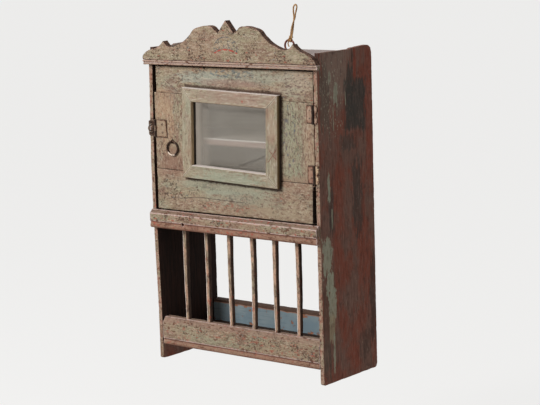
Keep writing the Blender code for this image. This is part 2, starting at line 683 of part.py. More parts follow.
def make_moulding():
    """Mitred moulding on the door round the glass, its face rising a little towards the glass."""
    half_width = OPENING_WIDTH / 2 + MOULDING_LAP
    half_height = (TOP_JOINT - FOOT_JOINT) / 2 + MOULDING_LAP
    frame = pivot("moulding_frame", (OPENING_SHIFT, FRONT - CLEAR, OPENING_MIDDLE), door)
    section = rounded([
        (0.0, 0.0, 0.0), (-MOULDING_OUTER, 0.0, MOULDING_ROUND),
        (-MOULDING_INNER, -MOULDING, MOULDING_ROUND), (0.0, -MOULDING, 0.0),
    ])
    lengths = (half_width, half_height, half_width, half_height)
    for turn, name in enumerate(("top", "right", "foot", "left")):
        half = lengths[turn]
        away = lengths[turn - 1]
        strip = slab(f"moulding_{name}", section, 2 * half, FACING_SIDE, (0.0, 0.0, 0.0))
        strip.data.transform(strip.matrix_world)
        strip.matrix_world.identity()
        bm = bmesh.new()
        bm.from_mesh(strip.data)
        for end in (-1, 1):
            bmesh.ops.bisect_plane(bm, geom=bm.verts[:] + bm.edges[:] + bm.faces[:], clear_outer=True,
                                   plane_co=(end * (half - CLEAR / 2), 0.0, 0.0), plane_no=(end, 0.0, -1.0))
            bmesh.ops.holes_fill(bm, edges=[edge for edge in bm.edges if edge.is_boundary])
        bmesh.ops.recalc_face_normals(bm, faces=bm.faces)
        bm.to_mesh(strip.data)
        bm.free()
        angle = turn * pi / 2
        strip.rotation_euler = (0.0, angle, 0.0)
        strip.location = frame.matrix_world.translation + Vector((sin(angle), 0.0, cos(angle))) * away
        hang(strip, frame, PAINT)
    frame.rotation_euler = (0.0, MOULDING_TILT, 0.0)


def make_leaf(name, place, height, reach, end_height, holds_middle, parent):
    """Iron leaf with a pivot tube: a flat plate that narrows to its end, and its share of three knuckles."""
    outline = [(place.x, place.z - height / 2), (place.x + reach, place.z - end_height / 2),
               (place.x + reach, place.z + end_height / 2), (place.x, place.z + height / 2)]
    leaf = slab(name, outline, PLATE, FACING_FRONT, (0.0, FRONT - CLEAR - PLATE / 2, 0.0))
    knuckle = rod(f"{name}_knuckle", KNUCKLE, height, place)
    combine(leaf, knuckle, "UNION")
    bore = rod(f"{name}_bore", PIN + PIN_CLEAR, 2 * height, place)
    combine(leaf, bore, "DIFFERENCE")
    room = KNUCKLE + CLEAR
    third = height / 6
    if holds_middle:
        spans = [(third - CLEAR / 2, height), (-height, CLEAR / 2 - third)]
    else:
        spans = [(-third - CLEAR / 2, third + CLEAR / 2)]
    reliefs = []
    for low, high in spans:
        relief = box(f"{name}_relief", place + Vector((-room, -room, low)),
                     place + Vector((room, room, high)))
        combine(leaf, relief, "DIFFERENCE")
        reliefs.append(relief)
    for other in [knuckle, bore] + reliefs:
        hang(other, parent, IRON)
    hang(leaf, parent, IRON)
    return leaf


def make_hinges():
    """Two hinges with their leaves on the face of the door and on the edge of the right side."""
    heights = {"upper": TOP_JOINT - UPPER_HINGE_DROP, "lower": FOOT_JOINT + LOWER_HINGE_RISE}
    for name, height in heights.items():
        place = Vector((HINGE_X, PIVOT_Y, height))
        make_leaf(f"hinge_{name}_door_leaf", place, HINGE, -HINGE_DOOR_REACH, HINGE_DOOR_END, True, door)
        make_leaf(f"hinge_{name}_side_leaf", place, HINGE, HINGE_SIDE_REACH, HINGE_SIDE_END, False, carcass)
        pin = rod(f"hinge_{name}_pin", PIN, HINGE + 2 * PIN_PROUD, place)
        hang(pin, carcass, IRON, smooth=True)


def staple_points(place, spread, tip, bury):
    """Route of a staple: a leg out of the wood, a half turn, and a leg back."""
    bend = spread / 2
    points = [(place.x, FRONT + bury, place.z - bend)]
    for step in range(BEND_STEPS + 1):
        angle = pi * step / BEND_STEPS
        points.append((place.x, tip + bend - bend * sin(angle), place.z - bend * cos(angle)))
    points.append((place.x, FRONT + bury, place.z + bend))
    return points


def make_hasp():
    """Hasp: a plate on the door, a slotted strap over the left side's edge, and the staple in its slot."""
    place = Vector((HASP_X, PIVOT_Y, HASP_Z))
    make_leaf("hasp_plate", place, HASP, HASP_PLATE_REACH, HASP, False, door)
    strap = make_leaf("hasp_strap", place, HASP, -HASP_STRAP_REACH, HASP_STRAP_END, True, hasp)
    half = STAPLE_SPREAD / 2 + STAPLE_WIRE + HASP_SLOT_EASE
    slot = box("hasp_slot", place + Vector((-HASP_SLOT_END, -KNUCKLE, -half)),
               place + Vector((-HASP_SLOT_START, KNUCKLE + PLATE, half)))
    combine(strap, slot, "DIFFERENCE")
    hang(slot, hasp, IRON)
    pin = rod("hasp_pin", PIN, HASP + 2 * PIN_PROUD, place)
    hang(pin, door, IRON, smooth=True)
    foot = Vector((STAPLE_X, FRONT, HASP_Z))
    points = staple_points(foot, STAPLE_SPREAD, FRONT - STAPLE_STAND, STAPLE_BURY)
    staple = tube("hasp_staple", points, STAPLE_WIRE)
    hang(staple, carcass, IRON, smooth=True)


def ring_staple_spread():
    """Distance between the legs of the ring's staple, which leaves room for the ring's wire to turn."""
    return 2 * (RING_WIRE + RING_STAPLE_EASE + RING_STAPLE_WIRE)


def make_ring():
    """Ring pull that hangs in a small staple on the latch stile."""
    spread = ring_staple_spread()
    place = Vector((RING_X, RING_Y, RING_Z))
    points = staple_points(place, spread, RING_Y - spread / 2, RING_STAPLE_BURY)
    staple = tube("ring_staple", points, RING_STAPLE_WIRE)
    hang(staple, door, IRON, smooth=True)
    pull = hoop("ring_pull", RING, RING_WIRE, place - Vector((0.0, 0.0, RING)), FACING_FRONT)
    hang(pull, ring, IRON, smooth=True)


def smooth_route(points, steps):
    """Points of a smooth curve through the points of a route."""
    route = [Vector(point) for point in points]
    ends = [2 * route[0] - route[1]] + route + [2 * route[-1] - route[-2]]
    result = []
    for index in range(1, len(ends) - 2):
        before, start, end, after = ends[index - 1:index + 3]
        for step in range(steps):
            share = step / steps
            bend = 2 * before - 5 * start + 4 * end - after
            swing = 3 * start - before - 3 * end + after
            result.append(start + (end - before) * share / 2 + bend * share ** 2 / 2 + swing * share ** 3 / 2)
    result.append(route[-1])
    return result


def make_hanger():
    """Iron eye driven into the top of the back board, and the twine tied to it."""
    place = Vector((EYE_X, EYE_Y, EYE_Z))
    eye = hoop("hanging_eye", EYE, EYE_WIRE, place, FACING_FRONT)
    shank_top = EYE_Z - EYE
    shank_foot = BACK_TOP - EYE_SHANK
    shank = rod("eye_shank", EYE_WIRE, shank_top - shank_foot, (EYE_X, EYE_Y, (shank_top + shank_foot) / 2))
    combine(eye, shank, "UNION")
    hang(shank, carcass, IRON)
    hang(eye, carcass, IRON, smooth=True)
    outward = Vector((sin(KNOT_LEAN), 0.0, cos(KNOT_LEAN)))
    along = Vector((cos(KNOT_LEAN), 0.0, -sin(KNOT_LEAN)))
    tied = place + outward * EYE
    turn = EYE_WIRE + CLEAR + TURN
    facing = (0.0, pi / 2 + KNOT_LEAN, 0.0)
    knot = hoop("twine_knot", turn, TURN, tied - along * TURN_SPACING / 2, facing)
    second = hoop("second_turn", turn, TURN, tied + along * TURN_SPACING / 2, facing)
    combine(knot, second, "UNION")
    hang(second, carcass, JUTE)
    hang(knot, carcass, JUTE, smooth=True)
    start = tied + outward * (turn + TURN + CLEAR)
    route = [start + Vector((across, 0.0, up)) for across, up in TWINE_ROUTE]
    twine = tube("twine", smooth_route(route, TWINE_STEPS), TWINE, resolution=CORD_FINENESS)
    hang(twine, carcass, JUTE, smooth=True)
    parting = route[-1] + Vector((0.0, 0.0, CLEAR))
    loop_route = [parting + Vector((across, 0.0, up)) for across, up in LOOP_ROUTE]
    loop = tube("twine_loop", smooth_route(loop_route, TWINE_STEPS), STRAND, resolution=CORD_FINENESS)
    hang(loop, carcass, JUTE, smooth=True)


make_sides()
make_boards()
make_crest()
make_rails()
make_bars()
make_door_frame()
make_glazing()
make_moulding()
make_hinges()
make_hasp()
make_ring()
make_hanger()

# The origin is on the wall, in the middle of the upper back board
carcass.location.z = -MOUNT_HEIGHT
bpy.context.view_layer.update()
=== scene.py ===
"""An old painted wall cabinet: glazed cupboard above, barred rack below, hung by twine from an iron eye."""
from math import cos, pi, radians, sin, sqrt, tan
import bmesh
import bpy
from mathutils import Matrix, Vector, noise
from mathutils.kdtree import KDTree


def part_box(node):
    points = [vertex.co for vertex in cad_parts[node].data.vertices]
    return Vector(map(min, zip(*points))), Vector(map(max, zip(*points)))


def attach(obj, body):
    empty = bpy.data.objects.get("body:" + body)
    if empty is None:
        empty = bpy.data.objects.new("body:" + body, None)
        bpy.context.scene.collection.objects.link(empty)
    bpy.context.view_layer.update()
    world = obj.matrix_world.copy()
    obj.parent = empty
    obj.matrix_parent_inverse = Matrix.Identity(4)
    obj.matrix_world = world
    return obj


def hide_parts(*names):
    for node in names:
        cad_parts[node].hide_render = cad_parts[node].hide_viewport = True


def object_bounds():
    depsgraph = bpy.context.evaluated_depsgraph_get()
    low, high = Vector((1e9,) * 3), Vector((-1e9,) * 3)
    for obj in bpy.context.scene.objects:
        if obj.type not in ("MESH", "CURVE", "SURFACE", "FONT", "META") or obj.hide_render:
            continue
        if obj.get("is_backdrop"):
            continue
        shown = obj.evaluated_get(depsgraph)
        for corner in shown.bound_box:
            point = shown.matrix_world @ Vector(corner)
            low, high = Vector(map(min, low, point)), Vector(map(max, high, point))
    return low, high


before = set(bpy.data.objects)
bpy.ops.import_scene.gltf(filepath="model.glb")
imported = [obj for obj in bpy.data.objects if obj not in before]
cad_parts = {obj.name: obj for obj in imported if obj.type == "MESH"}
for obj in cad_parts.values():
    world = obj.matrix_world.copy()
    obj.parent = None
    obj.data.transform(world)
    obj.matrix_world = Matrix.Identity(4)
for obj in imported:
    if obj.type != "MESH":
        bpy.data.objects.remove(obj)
cad_low, cad_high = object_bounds()


# View: the cabinet hangs in plain soft light and is seen from the right, a little from above, through a
# long lens. A pale floor lies below it and takes its shadow. One large lamp stands at the upper left.
VIEW_TURN, VIEW_FALL, VIEW_ROLL = radians(38.458), radians(9.154), radians(-1.656)
camera = bpy.data.objects.new("camera", bpy.data.cameras.new("camera"))
camera.data.sensor_width = 36.0
camera.data.lens = 116.293
camera.matrix_world = (
    Matrix.Translation((2.04801, -2.64066, 0.33249)) @ Matrix.Rotation(VIEW_TURN, 4, "Z")
    @ Matrix.Rotation(pi / 2 - VIEW_FALL, 4, "X") @ Matrix.Rotation(VIEW_ROLL, 4, "Z"))
bpy.context.scene.collection.objects.link(camera)
bpy.context.scene.camera = camera
bpy.context.scene.view_settings.view_transform = "Standard"

LAMP_PLACE, LAMP_AIM = Vector((-1.0, -2.6, 1.45)), Vector((0.0, -0.1, -0.15))
lamp = bpy.data.objects.new("large_lamp", bpy.data.lights.new("large_lamp", "AREA"))
lamp.data.shape = "DISK"
lamp.data.size = 1.1
lamp.data.energy = 80.0
lamp.matrix_world = Matrix.Translation(LAMP_PLACE) @ (
    (LAMP_AIM - LAMP_PLACE).to_track_quat("-Z", "Y").to_matrix().to_4x4())
bpy.context.scene.collection.objects.link(lamp)


def put(tree, socket, value):
    """Link an output to a socket, or set the socket to a plain value."""
    value = getattr(value, "output", value)
    if isinstance(value, bpy.types.NodeSocket):
        tree.links.new(value, socket)
    else:
        socket.default_value = value


def node(tree, kind, output=0, inputs=(), **settings):
    """A node with its settings made and its inputs linked or set. Gives one of its outputs."""
    made = tree.nodes.new("ShaderNode" + kind)
    for name, value in settings.items():
        setattr(made, name, value)
    for name, value in dict(inputs).items():
        put(tree, made.inputs[name], value)
    return made.outputs[output]


BACKGROUND, AMBIENT = (0.94, 0.935, 0.925, 1.0), 0.32
world = bpy.data.worlds.new("studio")
bpy.context.scene.world = world
world.use_nodes = True
sky = world.node_tree
sky.nodes.clear()
direct, glossy, through = (
    node(sky, "LightPath", f"Is {kind} Ray") for kind in ("Camera", "Glossy", "Transmission"))
seen = node(sky, "Math", 0, {0: direct, 1: glossy}, operation="ADD")
seen = node(sky, "Math", 0, {0: seen, 1: through}, operation="ADD", use_clamp=True)
soft_light = node(sky, "Background", 0, {"Strength": AMBIENT})
backdrop = node(sky, "Background", 0, {"Color": BACKGROUND})
either = node(sky, "MixShader", 0, {0: seen, 1: soft_light, 2: backdrop})
put(sky, sky.nodes.new("ShaderNodeOutputWorld").inputs[0], either)


def fresh(add, name, **sizes):
    """Add a primitive with nothing else selected, and name it."""
    bpy.ops.object.select_all(action="DESELECT")
    add(**sizes)
    piece = bpy.context.object
    piece.name = name
    return piece


FLOOR_SIZE, FLOOR_Z, FLOOR_GLOW = 80.0, cad_low.z - 0.25, 0.86
floor = fresh(bpy.ops.mesh.primitive_plane_add, "floor", size=FLOOR_SIZE, location=(0.0, 0.0, FLOOR_Z))
pale = bpy.data.materials.new("pale_floor")
pale.use_nodes = True
ground = pale.node_tree
matte = ground.nodes["Principled BSDF"]
for name, value in (("Base Color", (0.8, 0.795, 0.78, 1.0)), ("Roughness", 0.9), ("Specular IOR Level", 0.1)):
    matte.inputs[name].default_value = value
glow = node(ground, "Emission", 0, {"Color": BACKGROUND})
direct = node(ground, "LightPath", "Is Camera Ray")
share = node(ground, "Math", 0, {0: direct, 1: FLOOR_GLOW}, operation="MULTIPLY")
both = node(ground, "MixShader", 0, {0: share, 1: matte.outputs[0], 2: glow})
put(ground, ground.nodes["Material Output"].inputs[0], both)
floor.data.materials.append(pale)
floor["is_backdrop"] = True


# Sides: two thin hardwood boards, planed and nailed to the floors between them. Their tops step up towards
# the wall where a strip has split away, and their front edges took the paint of the front.
def choose(piece):
    """Select one piece alone."""
    bpy.ops.object.select_all(action="DESELECT")
    piece.select_set(True)
    bpy.context.view_layer.objects.active = piece


def divide(piece, axis, step):
    """Cut all the edges that run along an axis into steps of about that length."""
    bpy.ops.object.mode_set(mode="EDIT")
    for round_of_cuts in range(8):
        bpy.ops.mesh.select_mode(type="EDGE")
        bpy.ops.mesh.select_all(action="DESELECT")
        edges = bmesh.from_edit_mesh(piece.data).edges
        along = [e for e in edges if abs((e.verts[0].co - e.verts[1].co)[axis]) > 0.7 * e.calc_length()]
        longest = max((edge.calc_length() for edge in along), default=0.0)
        cuts = min(9, round(longest / step) - 1)
        if cuts < 1:
            break
        for edge in along:
            if edge.calc_length() > 0.6 * longest:
                edge.select_set(True)
        bmesh.update_edit_mesh(piece.data)
        bpy.ops.mesh.subdivide(number_cuts=cuts)
    bpy.ops.object.mode_set(mode="OBJECT")


def board(name, low, high, steps):
    """A sawn board between two corners, divided along x, y and z."""
    piece = fresh(bpy.ops.mesh.primitive_cube_add, name, size=1.0, location=(low + high) / 2)
    piece.scale = high - low
    bpy.ops.object.transform_apply()
    for axis, step in enumerate(steps):
        divide(piece, axis, step)
    return piece


def apply_all(piece):
    """Apply a piece's modifiers."""
    choose(piece)
    for modifier in list(piece.modifiers):
        bpy.ops.object.modifier_apply(modifier=modifier.name)


def combine(piece, tool, operation="DIFFERENCE"):
    """Cut a shape out of a piece, or weld it on with UNION. The shape is then gone."""
    cut = piece.modifiers.new("cut", "BOOLEAN")
    cut.object = tool
    cut.operation = operation
    cut.solver = "EXACT"
    apply_all(piece)
    bpy.data.objects.remove(tool)


def nearest(points):
    """A search tree over points, or over one far away where there are none."""
    points = points or [Vector((9.0, 9.0, 9.0))]
    tree = KDTree(len(points))
    for index, point in enumerate(points):
        tree.insert(point, index)
    tree.balance()
    return tree


SHARP, SMOOTH, EDGE_STEP = radians(34), radians(38), 0.0015


def age(piece, arris, chip, seed, hollow=0.0004, reach=0.005, bevel_steps=2):
    """Round the edges of a shape and wear it: shallow hollows all over, uneven losses along the edges.
    It notes on each point how near a worn edge and an inner corner are, for the paint."""
    shape = bmesh.new()
    shape.from_mesh(piece.data)
    ridges, corners = [], []
    for edge in shape.edges:
        angle = edge.calc_face_angle_signed() if len(edge.link_faces) == 2 else 0.0
        if abs(angle) > SHARP:
            count = max(1, int(edge.calc_length() / EDGE_STEP))
            line = [edge.verts[0].co.lerp(edge.verts[1].co, k / count) for k in range(count + 1)]
            (ridges if angle > 0 else corners).extend(line)
    shape.free()
    if arris:
        bevel = piece.modifiers.new("rounded", "BEVEL")
        bevel.width = arris
        bevel.segments = bevel_steps
        bevel.limit_method = "ANGLE"
        bevel.angle_limit = SHARP
        apply_all(piece)
    edges, hollows = nearest(ridges), nearest(corners)
    mesh = piece.data
    shift = Vector((seed, seed * 1.7, -seed * 0.6))
    normals = [vertex.normal.copy() for vertex in mesh.vertices]
    worn, inner_corner = [], []
    for vertex, normal in zip(mesh.vertices, normals):
        near = max(0.0, 1.0 - edges.find(vertex.co)[2] / reach)
        worn.append(near)
        inner_corner.append(max(0.0, 1.0 - hollows.find(vertex.co)[2] / reach))
        place = vertex.co + shift
        slow = 0.5 + 0.5 * noise.noise(place * 22.0)
        bite = max(0.0, noise.noise(place * 75.0) + 0.55 * noise.noise(place * 210.0))
        vertex.co -= normal * (hollow * slow + chip * near * near * (0.25 + bite))
    for name, values in (("worn", worn), ("inner_corner", inner_corner)):
        mesh.attributes.new(name, "FLOAT", "POINT").data.foreach_set("value", values)
    choose(piece)
    bpy.ops.object.shade_smooth_by_angle(angle=SMOOTH)


def dress(piece, finish, body, slot, *solids):
    """Give a piece its finish, the body that it moves with and the solids that it stands for."""
    piece.data.materials.clear()
    piece.data.materials.append(finish)
    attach(piece, body)
    if solids:
        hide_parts(*solids)


class Amount:
    """How much of something there is at each place of a surface, with plain arithmetic."""

    def __init__(self, output):
        self.output = output

    def do(self, operation, *others):
        """One step of arithmetic."""
        inputs = dict(enumerate((self, *others)))
        return Amount(node(self.output.id_data, "Math", 0, inputs, operation=operation))

    def __add__(self, other):
        return self.do("ADD", other)

    def __sub__(self, other):
        return self.do("SUBTRACT", other)

    def __mul__(self, other):
        return self.do("MULTIPLY", other)

    def __abs__(self):
        return self.do("ABSOLUTE")

    def rise(self, low, high):
        """0 at low, 1 at high, smooth between."""
        inputs = {"Value": self, "From Min": low, "From Max": high}
        made = node(self.output.id_data, "MapRange", "Result", inputs, interpolation_type="SMOOTHSTEP")
        return Amount(made)


def shade(tone):
    """The shader's colour for red, green and blue as they look on a screen, from 0 to 255."""
    return tuple(c / 255 / 12.92 if c < 11 else ((c / 255 + 0.055) / 1.055) ** 2.4 for c in tone) + (1.0,)


def mix(amount, under, over, strength=1.0):
    """One colour laid over another. Each is a mixed colour, or red, green and blue as on a screen."""
    if strength != 1.0:
        amount = amount * strength
    under, over = (shade(tone) if isinstance(tone, tuple) else tone for tone in (under, over))
    return node(amount.output.id_data, "Mix", 2, {0: amount, 6: under, 7: over}, data_type="RGBA")


def drawn(along, by):
    """A stretch along one axis."""
    return tuple(by if axis == along else 1.0 for axis in range(3))


class Finish:
    """A material built up in coats. Its colour is what has been laid so far."""

    def __init__(self, name, colour=None):
        self.material = bpy.data.materials.new(name)
        self.material.use_nodes = True
        self.tree = self.material.node_tree
        self.shader = self.tree.nodes["Principled BSDF"]
        self.set("Specular IOR Level", 0.2)
        self.colour = colour

    def set(self, name, value):
        """Link or set an input of the shader."""
        put(self.tree, self.shader.inputs[name], value)

    def amount(self, kind, output, inputs=(), **settings):
        """The amount that a node gives."""
        return Amount(node(self.tree, kind, output, inputs, **settings))

    def where(self, centre=(0.0, 0.0, 0.0), scale=(1.0, 1.0, 1.0)):
        """Places on the object from a centre, each way scaled."""
        spot = node(self.tree, "TexCoord", "Object")
        moved = node(self.tree, "VectorMath", 0, {0: spot, 1: centre}, operation="SUBTRACT")
        return node(self.tree, "VectorMath", 0, {0: moved, 1: scale}, operation="MULTIPLY")

    def place(self, axis):
        """Where a place is along X, Y or Z."""
        return self.amount("SeparateXYZ", axis, {0: self.where()})

    def facing(self, axis):
        """How far the surface faces along X, Y or Z."""
        return self.amount("SeparateXYZ", axis, {0: node(self.tree, "TexCoord", "Normal")})

    def away(self, centre, scale):
        """How far places are from a centre, each way scaled."""
        return self.amount("VectorMath", "Value", {0: self.where(centre, scale)}, operation="LENGTH")

    def beside(self, middle, way):
        """How far places are from a middle on the front, measured along a way, both (x, z)."""
        inputs = {0: self.where((middle[0], 0.0, middle[1])), 1: (way[0], 0.0, way[1])}
        return abs(self.amount("VectorMath", "Value", inputs, operation="DOT_PRODUCT"))

    def noted(self, name):
        """What was noted on the points of a piece, such as wear."""
        return self.amount("Attribute", "Fac", attribute_name=name)

    def cloud(self, size, seed, stretch=(1.0, 1.0, 1.0), detail=3.0, rough=0.55):
        """Soft noise in patches of about a size in metres, drawn out along the axes by a stretch."""
        spots = self.where((seed * 0.31, seed * 0.47, -seed * 0.23), tuple(1.0 / (size * s) for s in stretch))
        inputs = {"Vector": spots, "Scale": 1.0, "Detail": detail, "Roughness": rough}
        return self.amount("TexNoise", "Fac", inputs)

    def spot(self, centre, size, ragged, amount=1.0, soft=0.4, square=False):
        """A ragged patch, round or square: 1 in its middle, 0 outside its size. A size of 0 has no end."""
        scale = tuple(1.0 / s if s else 0.0 for s in size)
        if square:
            spots = node(self.tree, "VectorMath", 0, {0: self.where(centre, scale)}, operation="ABSOLUTE")
            x, y, z = (self.amount("SeparateXYZ", axis, {0: spots}) for axis in "XYZ")
            far = x.do("MAXIMUM", y.do("MAXIMUM", z))
        else:
            far = self.away(centre, scale)
        rough = ragged.do("MULTIPLY_ADD", -amount, amount / 2)
        return (far + rough).rise(0.95 + soft / 2, 0.95 - soft / 2)

    def scratch(self, start, end, width, ragged):
        """A broken scratch between two places (x, z) on the front: 1 on it."""
        along, middle = Vector(end) - Vector(start), (Vector(start) + Vector(end)) / 2
        half = along.length / 2
        along.normalize()
        off = self.beside(middle, (-along.y, along.x)) + ragged * (1.6 * width)
        return off.rise(1.8 * width, 0.9 * width) * self.beside(middle, along).rise(half, 0.8 * half)

    def coat(self, amount, over, strength=1.0):
        """Lay a colour over the colour so far."""
        self.colour = mix(amount, self.colour, over, strength)

    def lay(self, *coats):
        """Lay coats, each where a value goes from low to high: value, low, high, colour and strength."""
        for value, low, high, *over in coats:
            self.coat(value.rise(low, high), *over)

    def done(self, roughness, height, depth, metal=0.0):
        """Give the shader its colour, its roughness and fine relief."""
        bump = node(self.tree, "Bump", 0, {"Strength": 1.0, "Distance": depth, "Height": height})
        self.set("Base Color", self.colour)
        self.set("Roughness", roughness)
        self.set("Metallic", metal)
        self.set("Normal", bump)
        return self.material


def flaked(chips, region, level):
    """Flakes where a noise comes over a level, which a region from 0 to 1 makes easier to reach."""
    return (chips + region * 0.14).rise(level, level + 0.035)


def crackle(paint, size, seed, stretch):
    """Fine cracks between plates of paint of about a size: 1 on a crack."""
    bend = paint.cloud(size * 0.7, seed + 1.0) * 0.9
    spots = paint.where((seed * 0.19, -seed * 0.37, seed * 0.29), tuple(1.0 / (size * s) for s in stretch))
    moved = node(paint.tree, "VectorMath", 0, {0: spots, 1: bend}, operation="ADD")
    inputs = {"Vector": moved, "Scale": 1.0, "Randomness": 1.0}
    return paint.amount("TexVoronoi", "Distance", inputs, feature="DISTANCE_TO_EDGE").rise(0.045, 0.0)


KHAKI, TAN, GREEN, PALE = (152, 139, 113), (154, 132, 109), (144, 151, 129), (184, 168, 149)
SCUFF, SLATE, WOOD, DARK_WOOD = (120, 91, 77), (92, 106, 110), (104, 68, 52), (54, 36, 28)
PIT, RED, ROSE = (76, 54, 44), (160, 74, 58), (176, 140, 124)


def old_paint(paint, seed, along, wear, green, fleck):
    """Khaki and green paint over a rose undercoat, brushed along an axis. It is rubbed through at the edges,
    stained brown, and pitted and flecked in clusters. Gives a height for its relief."""
    brushed = drawn(along, 2.4)
    worn = paint.noted("worn") * (0.34 * wear)
    tints = paint.cloud(0.042, seed + 3.0, brushed, 6.0, 0.62)
    stains = paint.cloud(0.020, seed, brushed, 8.0, 0.70)
    mottle = paint.cloud(0.0068, seed + 5.0, brushed, 5.0, 0.70)
    hairs = paint.cloud(0.0021, seed + 9.0, drawn(along, 8.0), 3.0, 0.6)
    grit = paint.cloud(0.0030, seed + 13.0, drawn(along, 1.56), 3.0, 0.7)
    flecks = paint.cloud(0.0042, seed + 11.0, rough=0.6)
    reds = paint.cloud(0.0056, seed + 21.0, brushed, 3.0, 0.65)
    blues = paint.cloud(0.0056, seed + 23.0, brushed, 3.0, 0.65)
    crowd = paint.cloud(0.034, seed + 17.0).rise(0.40, 0.64) * fleck
    bare = (worn + flecks).rise(0.80, 0.88)
    plates = crackle(paint, 0.0075, seed + 25.0, brushed) * stains.rise(0.36, 0.56)
    curls = abs(mottle - 0.54).rise(0.016, 0.004) * crowd
    pits = flaked(flecks, crowd, 0.67)
    paint.colour = TAN
    paint.lay(
        (tints, 0.40, 0.56, KHAKI), (tints, 0.52, 0.64, GREEN, green),
        (stains, 0.50, 0.35, SCUFF, 0.75), (stains, 0.54, 0.70, PALE, 0.55),
        (mottle, 0.47, 0.33, SCUFF, 0.75), (mottle, 0.55, 0.68, ROSE, 0.45),
        (hairs, 0.56, 0.68, SCUFF, 0.65), (hairs, 0.44, 0.32, PALE, 0.6),
        (grit, 0.54, 0.66, SCUFF, 0.7), (grit, 0.46, 0.34, PALE, 0.6),
        (worn + mottle, 0.70, 0.86, ROSE, 0.75))
    for loss, tone, strength in (
        (bare, WOOD, 0.85), (flaked(blues, crowd, 0.72), SLATE, 0.6), (flaked(reds, crowd, 0.72), RED, 0.65),
        (plates, PIT, 0.45), (curls, PIT, 0.5), (pits, PIT, 0.75),
    ):
        paint.coat(loss, tone, strength)
    # Darker near inner corners.
    paint.lay((paint.noted("inner_corner") + flecks * 0.6, 0.70, 1.10, DARK_WOOD, 0.9))
    return stains * 0.5 + mottle * 0.7 + hairs * 0.4 - bare * 0.4 - plates * 0.3 - curls * 0.4 - pits * 0.9


FRONT, CREST_SEAT, CREST_SHOULDER = -0.170, -0.165, 0.07915
SIDE_DARK, SIDE_OLIVE, SIDE_GREY, SIDE_BLACK = (66, 61, 55), (92, 82, 70), (152, 131, 117), (58, 44, 36)
SIDE_RED, SIDE_BROWN, SIDE_BRICK = (138, 74, 56), (126, 92, 79), (150, 72, 52)
SIDE_GREEN, SIDE_STRAW = (178, 180, 156), (176, 160, 130)
# Patches of a side's paint: depth and height of the middle, half sizes, raggedness, colour and strength
SIDE_PATCHES = (
    (-0.115, 0.060, 0.045, 0.050, 3.0, SIDE_GREY, 0.65), (-0.150, 0.020, 0.013, 0.062, 2.6, SIDE_OLIVE, 0.7),
    (-0.010, 0.000, 0.014, 0.130, 1.6, SIDE_BRICK, 0.5), (-0.056, -0.002, 0.033, 0.049, 1.3, SIDE_DARK, 0.95),
    (-0.070, 0.022, 0.010, 0.052, 1.6, SIDE_DARK, 0.85), (-0.081, -0.067, 0.024, 0.015, 3.0, SIDE_DARK, 0.6),
    (-0.054, -0.170, 0.014, 0.068, 2.6, SIDE_DARK, 0.75),
    (-0.137, -0.185, 0.008, 0.044, 2.4, SIDE_DARK, 0.75),
    (-0.156, -0.400, 0.011, 0.080, 2.6, SIDE_OLIVE, 0.6),
    (-0.010, -0.370, 0.009, 0.075, 2.4, SIDE_BLACK, 0.7),
    (-0.035, -0.455, 0.016, 0.024, 3.2, SIDE_BLACK, 0.45),
    (-0.055, 0.076, 0.004, 0.028, 2.0, SIDE_BRICK, 0.85),
    (-0.118, -0.012, 0.002, 0.022, 2.2, SIDE_BRICK, 0.7),
    (-0.0625, 0.090, 0.0014, 0.016, 0.8, SIDE_BLACK, 0.9),
    (-0.116, 0.024, 0.006, 0.020, 2.8, SIDE_GREEN, 0.85),
    (-0.134, 0.056, 0.003, 0.012, 2.8, SIDE_GREEN, 0.75),
    (-0.124, -0.020, 0.0014, 0.020, 3.0, SIDE_GREEN, 0.6),
    (-0.0855, 0.0135, 0.0010, 0.013, 1.6, SIDE_GREEN, 0.85),
    (-0.142, -0.147, 0.004, 0.024, 2.6, SIDE_GREEN, 0.8),
    (-0.134, -0.205, 0.0016, 0.024, 2.2, SIDE_GREEN, 0.7),
    (-0.151, -0.272, 0.014, 0.034, 2.6, SIDE_GREEN, 0.8),
    (-0.144, -0.322, 0.011, 0.026, 2.4, SIDE_GREEN, 0.85),
    (-0.138, -0.360, 0.011, 0.030, 2.2, SIDE_GREEN, 0.8),
    (-0.141, -0.402, 0.009, 0.026, 2.4, SIDE_STRAW, 0.75),
    (-0.136, -0.452, 0.003, 0.034, 2.2, SIDE_GREEN, 0.7),
)


